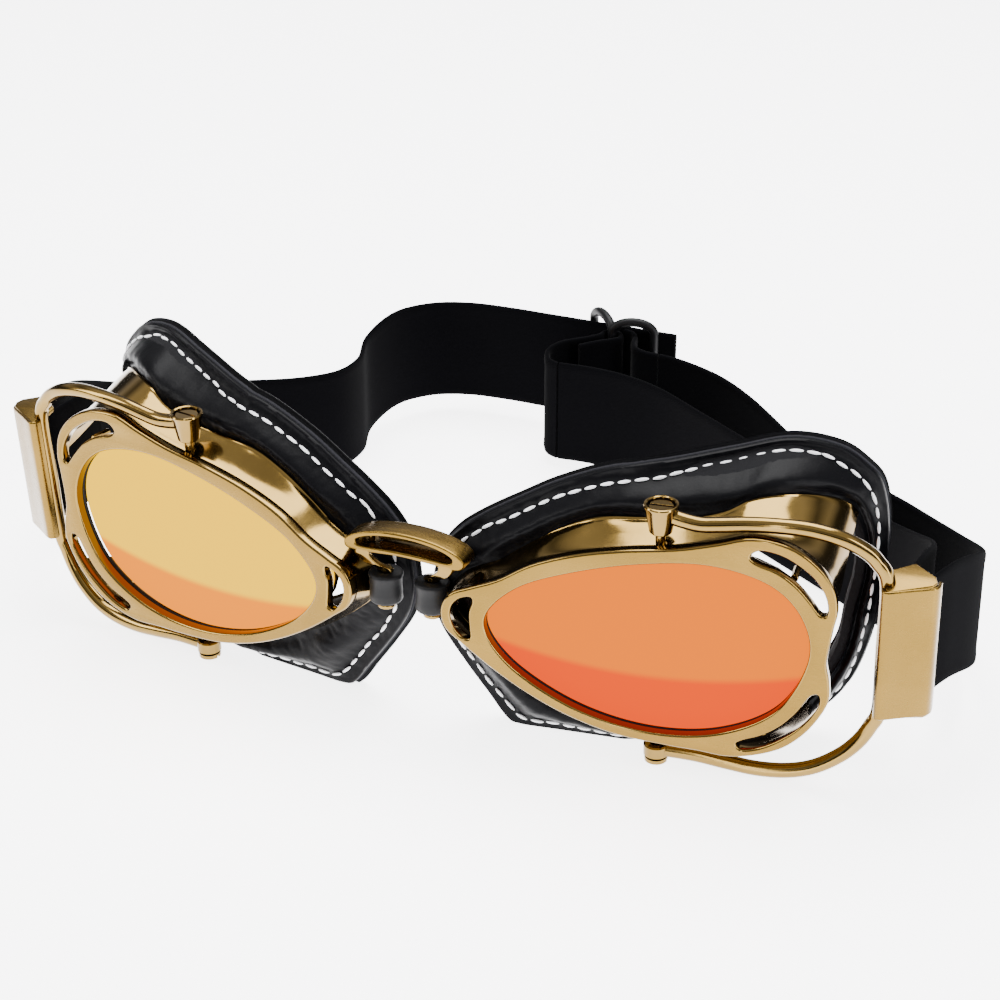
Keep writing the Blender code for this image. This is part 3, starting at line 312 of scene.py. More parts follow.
def plain(name, colour, roughness, grain=0.0, grain_scale=900, detail=4, sheen=0.0, coat=0.0, specular=0.5):
    """Rubber, plastic and leather: a dark body with a fine procedural grain."""
    made = bpy.data.materials.new(name)
    made.use_nodes = True
    tree = made.node_tree
    shader = tree.nodes["Principled BSDF"]
    shader.inputs["Base Color"].default_value = (*colour, 1)
    shader.inputs["Roughness"].default_value = roughness
    shader.inputs["Specular IOR Level"].default_value = specular
    shader.inputs["Sheen Weight"].default_value = sheen
    shader.inputs["Coat Weight"].default_value = coat
    shader.inputs["Coat Roughness"].default_value = 0.3
    place = tree.nodes.new("ShaderNodeTexCoord")
    pores = tree.nodes.new("ShaderNodeTexNoise")
    pores.inputs["Scale"].default_value = grain_scale
    pores.inputs["Detail"].default_value = detail
    tree.links.new(place.outputs["Object"], pores.inputs["Vector"])
    bump = tree.nodes.new("ShaderNodeBump")
    bump.inputs["Strength"].default_value = grain
    bump.inputs["Distance"].default_value = 0.0001
    tree.links.new(pores.outputs["Fac"], bump.inputs["Height"])
    tree.links.new(bump.outputs["Normal"], shader.inputs["Normal"])
    return made


# Lens material: the colour is emitted as a painted glow, and the lighter upper and deeper lower tints along a
# curve are a painted reflection.
def painted_glow_lens(name, high, low, edge, side):
    made = bpy.data.materials.new(name)
    made.use_nodes = True
    tree = made.node_tree
    shader = tree.nodes["Principled BSDF"]
    here = tree.nodes.new("ShaderNodeUVMap")
    here.uv_map = "UVMap"
    apart = tree.nodes.new("ShaderNodeSeparateXYZ")
    tree.links.new(here.outputs["UV"], apart.inputs[0])
    square = tree.nodes.new("ShaderNodeMath")
    square.operation = "MULTIPLY"
    tree.links.new(apart.outputs["X"], square.inputs[0])
    tree.links.new(apart.outputs["X"], square.inputs[1])
    arc = tree.nodes.new("ShaderNodeMath")
    arc.operation = "MULTIPLY_ADD"
    tree.links.new(square.outputs[0], arc.inputs[0])
    arc.inputs[1].default_value = edge[0]
    tree.links.new(apart.outputs["Y"], arc.inputs[2])
    tilt = tree.nodes.new("ShaderNodeMath")
    tilt.operation = "MULTIPLY_ADD"
    tree.links.new(apart.outputs["X"], tilt.inputs[0])
    tilt.inputs[1].default_value = edge[1]
    tree.links.new(arc.outputs[0], tilt.inputs[2])
    step = tree.nodes.new("ShaderNodeMapRange")
    step.interpolation_type = "SMOOTHSTEP"
    step.inputs["From Min"].default_value = edge[2] - 0.05
    step.inputs["From Max"].default_value = edge[2] + 0.05
    tree.links.new(tilt.outputs[0], step.inputs["Value"])
    # Painted reflection: the upper tint is used above the curve and the lower tint below it.
    mix = tree.nodes.new("ShaderNodeMix")
    mix.data_type = "RGBA"
    mix.inputs["A"].default_value = (*low, 1)
    mix.inputs["B"].default_value = (*high, 1)
    tree.links.new(step.outputs["Result"], mix.inputs["Factor"])
    shader.inputs["Base Color"].default_value = (0.02, 0.004, 0.0, 1)
    shader.inputs["Metallic"].default_value = 0.0
    shader.inputs["Specular IOR Level"].default_value = 0.0
    shader.inputs["Roughness"].default_value = 0.12
    shader.inputs["Coat Weight"].default_value = 0.0
    shader.inputs["Coat Roughness"].default_value = 0.02
    # The lens shines by emission: a painted glow on a part that is no lamp.
    shader.inputs["Emission Strength"].default_value = 1.0
    tree.links.new(mix.outputs["Result"], shader.inputs["Emission Color"])
    return made


RUBBER = plain("black_rubber", (0.003, 0.003, 0.0035), 0.5, 0.3, 1800, specular=0.15)
LENS_THICK = 2.0
LENS_RIM = 0.6
LENS_SEAT = -3.9
LENS_DOME = 0.8
# Each pair is a lighter upper and a deeper lower tint, emitted as a painted glow and split as a painted
# reflection.
ORANGE_LENS_GLOW = painted_glow_lens("orange_mirror", (1.7, 0.33, 0.0), (1.6, 0.11, 0.0), (-0.22, 0.0, -0.42), 1)
YELLOW_LENS_GLOW = painted_glow_lens("yellow_mirror", (2.3, 1.3, 0.0), (2.0, 0.52, 0.0), (-0.2, 0.0, -0.5), -1)
for side, name in ((1, "left"), (-1, "right")):
    edge = around(LENS_OPENING, 160, LENS_RIM)
    bm = bmesh.new()
    shares = [1.0, 0.97, 0.9, 0.8, 0.68, 0.54, 0.4, 0.26, 0.13, 0.02]
    layer = bm.loops.layers.uv.new("UVMap")
    faces_at = []
    for thick, order in ((0.0, shares), (-LENS_THICK, list(reversed(shares)))):
        for share in order:
            faces_at.append([(p * share, LENS_SEAT + thick + LENS_DOME * (1 - share * share)) for p in edge])
    rows = [[bm.verts.new(cup((p.x, p.y, z), side)) for p, z in row] for row in faces_at]
    flat = [[(p.x / 33, p.y / 20) for p, z in row] for row in faces_at]
    for i in range(len(rows)):
        j = (i + 1) % len(rows)
        if i == len(shares) - 1:
            bm.faces.new(rows[i])
            bm.faces.new(rows[j])
            continue
        for k in range(160):
            n = (k + 1) % 160
            face = bm.faces.new((rows[i][k], rows[i][n], rows[j][n], rows[j][k]))
            for loop, at in zip(face.loops, (flat[i][k], flat[i][n], flat[j][n], flat[j][k])):
                loop[layer].uv = at
    keep("lens_shield_" + name, bm, "cup_" + name, ["lens_" + name], ORANGE_LENS_GLOW if side > 0 else YELLOW_LENS_GLOW,
         30)
    bm = bmesh.new()
    loops = [[cup((p.x, p.y, z), side) for p in around(LENS_OPENING, 160, m)]
             for m, z in ((0.35, -2.6), (0.15, -2.9), (0.15, -3.2), (0.5, -3.5), (0.6, -3.2), (0.6, -2.6))]
    skin(bm, loops, close_ends=True)
    keep("gasket_ring_" + name, bm, "cup_" + name, ["lens_gasket_" + name], RUBBER)


# ------------------------------------------------------------------ small brass hardware
# The retainers behind the lenses, the vent posts, the slotted pivot screws and the strap pins keep
# their shape and get a fine broken edge and a bright finish.
for node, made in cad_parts.items():
    if node.startswith(("lens_retainer", "vent_post", "pivot_screw", "strap_pin", "bridge_post",
                        "bridge_plate")):
        weld = made.modifiers.new("weld", "WELD")
        weld.merge_threshold = 0.00002
        soften = made.modifiers.new("broken_edge", "BEVEL")
        soften.width = 0.00015
        soften.segments = 2
        soften.limit_method = "ANGLE"
        soften.angle_limit = math.radians(40)
        for place in made.material_slots:
            place.material = SATIN if node.startswith(("lens_retainer", "bridge_plate")) else BRIGHT


# ------------------------------------------------------------------ leather covers
# Black glove leather stretched over the pad from the wall's rim to the sewn edge. It rolls out beside
# the wall, dips towards the seam and carries fine creases from being worked over the foam.
PAD_OUTLINE = [(42.6, 5), (43.2, 17), (41.6, 26.6), (38, 31.4), (32.5, 35.3), (23.5, 37.2), (13, 35.3),
               (2, 33.1), (-9.5, 31.1), (-20.5, 26.6), (-28.7, 21.9), (-34.8, 18.2), (-40.6, 13.9),
               (-44.6, 9), (-46.4, 3), (-46.6, -3), (-44.8, -9), (-40, -16.4), (-35, -23.2), (-31, -28.6),
               (-28.2, -29.8), (-20, -29.9), (-8, -30), (5, -30), (18, -29.5), (29, -26.4), (37, -18.6),
               (41, -8)]
THREAD = plain("white_thread", (0.86, 0.86, 0.88), 0.7, 0.5, 6000)
EDGE = plain("raw_edge", (0.016, 0.016, 0.019), 0.9, 1.0, 2200, 8, specular=0.1)
LEATHER = plain("black_leather", (0.0022, 0.0022, 0.0028), 0.38, 0.35, 1300, 6, specular=0.05)
FOAM = plain("black_foam", (0.008, 0.008, 0.009), 0.95, 1.0, 1500, 8, specular=0.1)
LINING = plain("soft_lining", (0.006, 0.006, 0.007), 0.9, 0.6, 3000, 4, sheen=0.05, specular=0.1)
AROUND = 480
LEATHER_THICK = 1.3
SEAM_INSIDE = 2.3

def pad_depth(x):
    return -13.5 - 0.32 * max(0.0, x + 6.0)

def pad_profile(side):
    """The leather's outer face: for each step round the cup, points from the wall's rim to the edge."""
    rim, edge = around(WALL_RIM, AROUND), around(PAD_OUTLINE, AROUND)
    profile = []
    for p, q in zip(rim, edge):
        corners = []
        for share in (-0.10, 0.08, 0.42, 0.78, 1.0):
            at = p + (q - p) * share
            start = wall_depth(at.x) - 0.3
            if share < 0.1:
                depth = start
            elif share < 0.5:
                depth = start * 0.62 + pad_depth(at.x) * 0.38 + 2.6 * min(max((at.x + 42) / 14, 0.0), 1.0)
            else:
                depth = pad_depth(at.x) + (0.7 if share < 0.9 else 0.0)
            corners.append(Vector((at.x, at.y, depth)))
        line = curve_through(corners, False, 7)
        creased = []
        for k, c in enumerate(line):
            fade = min(k / 5, (len(line) - 1 - k) / 5, 1.0)
            seed = Vector((c.x * side, c.y, c.z)) + Vector((side * 37.0, 0, 0))
            swell = noise.noise(seed * 0.085) * 0.55 + noise.noise(seed * 0.3) * 0.22
            crease = 0.16 * (1 - abs(noise.noise(Vector((seed.x * 0.42, seed.y * 0.42, k * 0.16)))) * 3)
            creased.append(c + Vector((0, 0, (swell - max(crease, 0)) * fade)))
        profile.append(creased)
    return profile


for side, name in ((1, "left"), (-1, "right")):
    profile = pad_profile(side)
    bm = bmesh.new()
    rows = []
    for line in profile:
        under = [p - Vector((0, 0, LEATHER_THICK)) for p in reversed(line)]
        last = (line[-1] + under[0]) / 2 + (line[-1] - line[-4]).normalized() * 0.35
        rows.append([cup(p, side) for p in line + [last] + under])
    skin(bm, rows, close_ends=True)
    cover = keep("leather_" + name, bm, "cup_" + name, ["leather_cover_" + name], LEATHER,
                 60)

    # The raw edge: pared leather and lining glued together and buffed grey.
    bm = bmesh.new()
    rows = []
    for i, line in enumerate(profile):
        out = (line[-1] - line[-5])
        out = Vector((out.x, out.y, 0)).normalized()
        fuzz = 0.1 * noise.noise(Vector((i * 0.9, side * 5.0, 0)))
        middle = line[-1] + Vector((0, 0, -1.75)) - out * 0.35
        wide, high = 0.75 + fuzz, 0.55 + fuzz
        rows.append([cup(middle + out * wide * math.cos(a) + Vector((0, 0, high * math.sin(a))), side)
                     for a in [math.tau * k / 12 for k in range(12)]])
    skin(bm, rows, close_ends=True)
    keep("raw_edge_" + name, bm, "cup_" + name, [], EDGE, 70)

    # The seam: one long stitch after another, sunk a little into the leather just inside the edge.
    seam = []
    for line in profile:
        gone, k = 0.0, len(line) - 1
        while gone < SEAM_INSIDE and k > 1:
            gone += (line[k] - line[k - 1]).length
            k -= 1
        seam.append(cup(line[k] + Vector((0, 0, 0.34)), side))
    path = bpy.data.meshes.new("seam_path")
    path.from_pydata(seam, [(i, (i + 1) % len(seam)) for i in range(len(seam))], [])
    host = bpy.data.objects.new("seam_path", path)
    bpy.context.scene.collection.objects.link(host)
    tree = bpy.data.node_groups.new("seam", "GeometryNodeTree")
    tree.interface.new_socket("Geometry", in_out="INPUT", socket_type="NodeSocketGeometry")
    pitch = tree.interface.new_socket("Pitch", in_out="INPUT", socket_type="NodeSocketFloat")
    length = tree.interface.new_socket("Stitch length", in_out="INPUT", socket_type="NodeSocketFloat")
    thread = tree.interface.new_socket("Thread radius", in_out="INPUT", socket_type="NodeSocketFloat")
    tree.interface.new_socket("Geometry", in_out="OUTPUT", socket_type="NodeSocketGeometry")
    enter, leave = tree.nodes.new("NodeGroupInput"), tree.nodes.new("NodeGroupOutput")
    to_curve = tree.nodes.new("GeometryNodeMeshToCurve")
    even = tree.nodes.new("GeometryNodeResampleCurve")
    even.mode = "LENGTH"
    tangent = tree.nodes.new("GeometryNodeInputTangent")
    turn = tree.nodes.new("FunctionNodeAlignEulerToVector")
    turn.axis = "Z"
    ball = tree.nodes.new("GeometryNodeMeshUVSphere")
    ball.inputs["Segments"].default_value = 10
    ball.inputs["Rings"].default_value = 10
    ball.inputs["Radius"].default_value = 1.0
    spread = tree.nodes.new("GeometryNodeInstanceOnPoints")
    size = tree.nodes.new("ShaderNodeCombineXYZ")
    jitter = tree.nodes.new("FunctionNodeRandomValue")
    jitter.data_type = "FLOAT"
    jitter.inputs[2].default_value = 0.44
    jitter.inputs[3].default_value = 0.54
    jitter.inputs["Seed"].default_value = 7
    long_half = tree.nodes.new("ShaderNodeMath")
    long_half.operation = "MULTIPLY"
    solid = tree.nodes.new("GeometryNodeRealizeInstances")
    dye = tree.nodes.new("GeometryNodeSetMaterial")
    dye.inputs["Material"].default_value = THREAD
    join = tree.links.new
    join(enter.outputs["Geometry"], to_curve.inputs["Mesh"])
    join(to_curve.outputs["Curve"], even.inputs["Curve"])
    join(enter.outputs["Pitch"], even.inputs["Length"])
    join(even.outputs["Curve"], spread.inputs["Points"])
    join(ball.outputs["Mesh"], spread.inputs["Instance"])
    join(tangent.outputs["Tangent"], turn.inputs["Vector"])
    join(turn.outputs["Rotation"], spread.inputs["Rotation"])
    join(enter.outputs["Stitch length"], long_half.inputs[0])
    join(jitter.outputs[1], long_half.inputs[1])
    join(enter.outputs["Thread radius"], size.inputs["X"])
    join(enter.outputs["Thread radius"], size.inputs["Y"])
    join(long_half.outputs[0], size.inputs["Z"])
    join(size.outputs[0], spread.inputs["Scale"])
    join(spread.outputs["Instances"], solid.inputs["Geometry"])
    join(solid.outputs["Geometry"], dye.inputs["Geometry"])
    join(dye.outputs["Geometry"], leave.inputs[0])
    grow = host.modifiers.new("seam", "NODES")
    grow.node_group = tree
    grow[pitch.identifier] = 0.0035
    grow[length.identifier] = 0.0028
    grow[thread.identifier] = 0.00034
    bpy.context.view_layer.update()
    sewn = bpy.data.meshes.new_from_object(host.evaluated_get(bpy.context.evaluated_depsgraph_get()))
    bpy.data.objects.remove(host)
    settle("stitches_" + name, sewn, "cup_" + name, [], THREAD, 80)

    # Foam and lining under the leather, soft closed rings that end at the eye opening.
    rim, edge = around(WALL_RIM, 240), around(PAD_OUTLINE, 240)
    eye = around(WALL_RIM, 240, -4.0)
    for piece, share, corners, finish, slot in (
            ("foam", 0.55, "foam_pad_", FOAM, "black_foam"),
            ("lining", 0.6, "pad_lining_", LINING, "lining")):
        bm = bmesh.new()
        rows = []
        for p, q, e in zip(rim, edge, eye):
            shrink = q + (p - q) * 0.03
            hole = p + (e - p) * share
            deep, hole_deep = pad_depth(shrink.x), pad_depth(hole.x)
            if piece == "foam":
                crown = p + (q - p) * 0.42
                high = (wall_depth(crown.x) - 0.3) * 0.62 + pad_depth(crown.x) * 0.38
                high += 2.6 * min(max((crown.x + 42) / 14, 0.0), 1.0) - 2.5
                section = [(hole, hole_deep - 4.0), (shrink, deep - 2.5), (shrink, deep - 2.1), (crown, high),
                           (hole, wall_depth(hole.x) - 2.4)]
            else:
                section = [(shrink, deep - 3.1), (shrink, deep - 4.0),
                           ((shrink + hole) / 2, (deep + hole_deep) / 2 - 4.9),
                           (hole, hole_deep - 5.5), (hole, hole_deep - 4.5)]
            rows.append([cup((c.x, c.y, c.z), side)
                         for c in curve_through([(a.x, a.y, z) for a, z in section], True, 3)])
        skin(bm, rows, close_ends=True)
        soft = keep(piece + "_ring_" + name, bm, "cup_" + name, [corners + name], finish, 70)


# ------------------------------------------------------------------ bails and their eyes
# Polished brass rod bent round the outside of each cup, with a tapered, countersunk eye on the upper
# pivot screw and a flat washer eye on the lower one.


def turned(bm, profile, base, axis, sides=48, ring=False):
    """A solid turned from (radius, distance) pairs; ring joins the last pair to the first."""
    axis = Vector(axis).normalized()
    across = axis.cross(Vector((0.31, 0.12, 0.94))).normalized()
    other = axis.cross(across)
    rows = []
    for radius, along in profile:
        centre = Vector(base) + axis * along
        rows.append([centre + (across * math.cos(math.tau * k / sides)
                               + other * math.sin(math.tau * k / sides))
                     * max(radius, 0.00002) for k in range(sides)])
    return skin(bm, rows, close_ends=ring)


def bar(bm, points, radius, sides=20, closed=False):
    """A round bar swept along points."""
    count = len(points)
    rows, across = [], None
    for i, p in enumerate(points):
        before = points[i - 1] if closed or i else points[0]
        after = points[(i + 1) % count] if closed or i + 1 < count else points[-1]
        along = (after - before).normalized()
        if across is None:
            across = along.cross(Vector((0.2, 0.5, 0.84))).normalized()
        across = (across - along * across.dot(along)).normalized()
        other = along.cross(across)
        rows.append([p + (across * math.cos(math.tau * k / sides) + other * math.sin(math.tau * k / sides))
                     * radius for k in range(sides)])
    return skin(bm, rows, close_ends=closed)


BAIL_TOP = [(4.6, 27.4, -3.3), (7.4, 26.9, -3.1), (10.5, 26.7, -2.9), (14.5, 27.3, -2.7), (19, 28, -2.6),
            (25, 28.4, -2.7), (31, 28.2, -3.1), (36.5, 27, -3.6), (40.8, 24.9, -4.4), (43.8, 22.3, -4.9)]
BAIL_LOW = [(44.6, -15.6, -8), (42.2, -19.6, -7.6), (38.8, -22.9, -7), (34.2, -25.7, -6.4),
            (29, -27.2, -6), (23, -27.6, -5.8), (17, -27.1, -5.8), (10.5, -26.4, -5.9), (4.0, -26.2, -5.9)]
ROD_RADIUS = 1.55
UPRIGHT = [(46.1, y, -6.85 + 0.09 * y) for y in (17.6, 3.3, -11.0)]
for side, name in ((1, "left"), (-1, "right")):
    body = "bail_" + name
    bm = bmesh.new()
    course = curve_through(BAIL_TOP + UPRIGHT + BAIL_LOW, False, 9)
    bar(bm, [cup(p, side) * 1000 for p in course], ROD_RADIUS, 28)
    bmesh.ops.scale(bm, vec=(0.001, 0.001, 0.001), verts=bm.verts)
    keep("bail_rod_" + name, bm, body, ["bail_" + name], BRIGHT, 50)
    lean = (cup((0, 1, 0.05), side) - cup((0, 0, 0), side)).normalized()
    for place, profile, y in (
            ("upper", [(1.3, 0.0), (2.0, 0.0), (2.25, 0.25), (3.15, 5.2), (3.45, 5.75), (3.5, 6.0),
                       (3.35, 6.25), (3.0, 6.3), (2.75, 6.15), (2.7, 5.9), (2.7, 4.35), (1.3, 4.3)], 23.9),
            ("lower", [(1.3, 0.0), (2.3, 0.0), (2.6, 0.3), (2.6, 2.5), (2.3, 2.8), (1.3, 2.8)], -27.6)):
        bm = bmesh.new()
        foot = cup((2.3, y, -4.6 + 0.05 * y), side)
        turned(bm, [(r * 0.001, h * 0.001) for r, h in profile], foot, lean, 56, ring=True)
        keep("bail_eye_%s_%s" % (place, name), bm, body, [], BRIGHT, 32)


# ------------------------------------------------------------------ strap clips
# A folded brass cover with a rolled front lip, closed by triangular caps that hook round the rod.
CLIP_THICK = 0.9
CLIP_MIDDLE = 2.8
CLIP_REACH = 14.4
CLIP_LINE = [(45.0, -4.9), (45.2, -3.7), (46.0, -3.0), (47.2, -3.2), (50.6, -4.9), (54.2, -6.6), (55.4, -7.4),
             (56.0, -8.6), (56.1, -10.2)]
CAP_CORNERS = [(46.2, -3.5), (54.6, -7.2), (55.3, -8.4), (54.8, -10), (50.6, -13.4), (45.6, -10.2),
               (45.3, -8)]
for side, name in ((1, "left"), (-1, "right")):
    body = "clip_" + name
    line = curve_through([(x, z, 0) for x, z in CLIP_LINE], False, 6)
    bm = bmesh.new()
    rows = []
    for i, p in enumerate(line):
        along = (line[min(i + 1, len(line) - 1)] - line[max(i - 1, 0)]).normalized()
        back = Vector((along.y, -along.x, 0))
        row = []
        for end, start in ((1, 0), (-1, math.pi)):
            for k in range(9):
                a = start + math.pi * k / 8
                q = p + back * (CLIP_THICK / 2) * (1 - math.cos(a))
                y = CLIP_MIDDLE + end * CLIP_REACH + CLIP_THICK / 2 * math.sin(a)
                row.append(cup((q.x, y, q.y + 0.09 * (y - 2.8)), side))
        rows.append(row)
    skin(bm, rows)
    keep("clip_cover_" + name, bm, body, ["strap_clip_" + name], SATIN, 40)
    for which, place in ((1, "upper"), (-1, "lower")):
        bm = bmesh.new()
        levels = []
        for inward in (0.0, 0.9):
            row = []
            for x, z in CAP_CORNERS:
                rise = 2.0 * min(max((-4.0 - z) / 9.4, 0.0), 1.0)
                y = 2.8 + which * (14.6 - inward + rise)
                row.append(bm.verts.new(cup((x, y, z + 0.09 * (y - 2.8)), side)))
            levels.append(row)
        for k in range(len(CAP_CORNERS)):
            n = (k + 1) % len(CAP_CORNERS)
            bm.faces.new((levels[0][k], levels[0][n], levels[1][n], levels[1][k]))
        bm.faces.new(levels[0])
        bm.faces.new(list(reversed(levels[1])))
        bmesh.ops.bevel(bm, geom=list(bm.edges), offset=0.00028, segments=3, affect="EDGES", profile=0.6)
        keep("clip_cap_%s_%s" % (place, name), bm, body, [], SATIN, 32)


# ------------------------------------------------------------------ nose bridge
# An arched gold band with a thick rounded rim, two curved legs that dive into rubber bushes, and brass
# caps under the bushes.


def nose(x, y, z):
    """A point given from the goggles' middle, with z as height above the ground."""
    return Vector((MID.x + x, MID.y + y, z)) / 1000


def rounded(wide, high, radius, steps=4):
    """The corners of a rounded rectangle centred on zero."""
    made = []
    for sx, sy, start in ((1, 1, 0), (-1, 1, 90), (-1, -1, 180), (1, -1, 270)):
        for k in range(steps + 1):
            a = math.radians(start + 90 * k / steps)
            made.append(Vector((sx * (wide / 2 - radius) + radius * math.cos(a),
                                sy * (high / 2 - radius) + radius * math.sin(a))))
    return made


bm = bmesh.new()
rows = []
for k in range(160):
    angle = math.tau * k / 160
    cx = math.copysign(abs(math.cos(angle)) ** 0.72, math.cos(angle))
    cz = math.copysign(abs(math.sin(angle)) ** 0.72, math.sin(angle))
    wide, high = cx * 13.4, cz * 2.6
    outer = Vector((wide, 42.6 - 1.7 * (wide / 13.4) ** 2 + high))
    wide, high = cx * 10.8, cz * 1.5
    inner = Vector((wide, 42.6 - 1.7 * (wide / 13.4) ** 2 + high))
    thick = (outer - inner).length
    row = []
    for corner in rounded(thick, 5.8, 0.48):
        at = inner.lerp(outer, corner.x / thick + 0.5)
        row.append(nose(at.x, 0.4 + corner.y, at.y))
    rows.append(row)
skin(bm, rows, close_ends=True)
keep("nose_band", bm, "bridge", ["bridge_band"], SATIN, 40)
for side, name in ((1, "left"), (-1, "right")):
    hinge = cup((-45.0, 1.6, -7.2), side) * 1000 - MID
    top = hinge.z + MID.z + 3.25
    reach = side * 9.2
    rim = 42.6 - 1.7 * (reach / 13.4) ** 2 - 2.6
    route = curve_through([(reach, -1.65, rim + 0.8), (reach, -1.65, rim - 0.5),
                           (hinge.x + side * 2.2, (hinge.y - 1.65) / 2 - 0.3, top + 2.0),
                           (hinge.x + side * 0.4, hinge.y - 0.2, top + 1.0),
                           (hinge.x, hinge.y, top + 0.3)], False, 8)
    bm = bmesh.new()
    skin(bm, [[nose(p.x + c.x, p.y + c.y, p.z) for c in rounded(3.3, 1.7, 0.45)] for p in route])
    keep("bridge_leg_" + name, bm, "bridge", [], BRIGHT, 42)
    foot = nose(hinge.x, hinge.y, hinge.z + MID.z - 3.25)
    bm = bmesh.new()
    turned(bm, [(r / 1000, h / 1000) for r, h in ((1.05, -0.3), (1.05, 7.6))], foot, (0, 0, 1), 32)
    keep("bridge_pin_" + name, bm, "bridge", [], BRIGHT, 42)
    bm = bmesh.new()
    turned(bm, [(r / 1000, h / 1000) for r, h in (
        (0, -1.85), (0.9, -1.82), (1.5, -1.7), (1.85, -1.45), (1.9, -1.2), (1.9, -0.75), (1.75, -0.6),
        (0, -0.6))], foot, (0, 0, 1), 40)
    keep("foot_cap_" + name, bm, "bridge", ["leg_cap_" + name], BRIGHT, 45)
    bm = bmesh.new()
    turned(bm, [(r / 1000, h / 1000) for r, h in (
        (1.35, 0.0), (2.9, 0.0), (3.3, 0.15), (3.48, 0.5), (3.42, 2.0), (3.34, 3.6), (3.4, 5.0), (3.6, 5.7),
        (3.62, 6.05), (3.45, 6.35), (3.1, 6.5), (1.35, 6.5))], foot, (0, 0, 1), 56, ring=True)
    keep("rubber_bush_" + name, bm, "cup_" + name, ["hinge_bush_" + name], RUBBER, 45)


# ------------------------------------------------------------------ strap
# Black elastic webbing with a fine twill and rounded selvedges, standing on edge behind the cups and
# doubled at both clips and at the slider.
WEBBING = bpy.data.materials.new("elastic_webbing")
WEBBING.use_nodes = True
tree = WEBBING.node_tree
shader = tree.nodes["Principled BSDF"]
shader.inputs["Roughness"].default_value = 0.85
shader.inputs["Sheen Weight"].default_value = 0.015
shader.inputs["Specular IOR Level"].default_value = 0.0
shader.inputs["Sheen Roughness"].default_value = 0.5
where = tree.nodes.new("ShaderNodeUVMap")
where.uv_map = "UVMap"
lines = []
for turn_z, scale in ((0.0, 1.05), (90.0, 0.8)):
    spin = tree.nodes.new("ShaderNodeMapping")
    spin.inputs["Rotation"].default_value[2] = math.radians(turn_z)
    tree.links.new(where.outputs["UV"], spin.inputs["Vector"])
    wave = tree.nodes.new("ShaderNodeTexWave")
    wave.inputs["Scale"].default_value = scale * 0.32
    wave.inputs["Distortion"].default_value = 0.4
    tree.links.new(spin.outputs["Vector"], wave.inputs["Vector"])
    lines.append(wave)
weave = tree.nodes.new("ShaderNodeMath")
weave.operation = "MULTIPLY"
tree.links.new(lines[0].outputs["Fac"], weave.inputs[0])
tree.links.new(lines[1].outputs["Fac"], weave.inputs[1])
tint = tree.nodes.new("ShaderNodeMix")
tint.data_type = "RGBA"
tint.inputs["A"].default_value = (0.0016, 0.0016, 0.002, 1)
tint.inputs["B"].default_value = (0.0060, 0.0056, 0.0068, 1)
tree.links.new(weave.outputs[0], tint.inputs["Factor"])
tree.links.new(tint.outputs["Result"], shader.inputs["Base Color"])
raised = tree.nodes.new("ShaderNodeBump")
raised.inputs["Strength"].default_value = 0.6
raised.inputs["Distance"].default_value = 0.0002
tree.links.new(weave.outputs[0], raised.inputs["Height"])
tree.links.new(raised.outputs["Normal"], shader.inputs["Normal"])

STRAP_RIGHT = [(-97.6, 37), (-97.3, 30), (-97.5, 23), (-97.7, 19.6), (-98.2, 17.3), (-99.8, 16.4),
               (-101.3, 17.3), (-101.8, 19.6), (-102.4, 24),
               (-103.9, 31), (-109.6, 47), (-113, 62), (-110.8, 76), (-102, 85.6), (-90, 92.2), (-79.5, 98.8),
               (-72.6, 107), (-71.8, 117), (-75, 128), (-73, 140.5), (-67, 149.6), (-58, 154),
               (-47, 155.2), (-36, 155.2), (-16, 155.2), (0, 155.2)]
STRAP_LEFT = [(0.8, 141.4), (7, 140.4), (18, 136.4), (28, 130.4), (37, 123), (46, 114), (56, 106), (66, 99.6),
              (76, 93.6), (85, 87), (93, 79), (99.8, 68.4), (104, 56), (105.6, 44), (104, 32),
              (102.4, 24), (101.8, 19.6), (101.3, 17.3), (99.8, 16.4), (98.2, 17.3), (97.7, 19.6), (97.4, 24),
              (97.2, 33), (96.4, 44), (93, 56), (86.8, 67.4), (78.6, 77.6), (69.4, 86), (59, 93.4), (48.4, 100.4),
              (38, 107.2), (29, 113.4), (19, 120.2), (7, 126.8), (-4, 130), (-14, 130.8), (-22, 130.4)]
STRAP_FOLD = [(-22.4, 130.4), (-25.6, 131.8), (-27.2, 135.6), (-25.4, 139.8), (-21.4, 143.6), (-18.4, 147.4),
              (-17.6, 150.4), (-15.4, 151.8), (-13.2, 150.2), (-13, 147.4), (-16.6, 143.6), (-20.4, 139.6)]
STRAP_WEAVE = [(-13.4, 153.5), (-10.8, 152.6), (-9.2, 150.1), (-8.4, 146.7), (-6.4, 143.3), (-3, 141.7),
               (0.4, 141.4)]
WEB_WIDTH = 26.4
WEB_MIDDLE = 2.8
SLIDER_LIFT = 4.0
HIGH = [0, 0.012, 0.035, 0.06, 0.085, 0.12, 0.25, 0.4, 0.5, 0.6, 0.75, 0.88, 0.915, 0.94, 0.965, 0.988, 1.0]
FAT = [0.30, 0.55, 0.68, 0.70, 0.66, 0.58, 0.58, 0.58, 0.58, 0.58, 0.58, 0.58, 0.66, 0.70, 0.68, 0.55, 0.30]
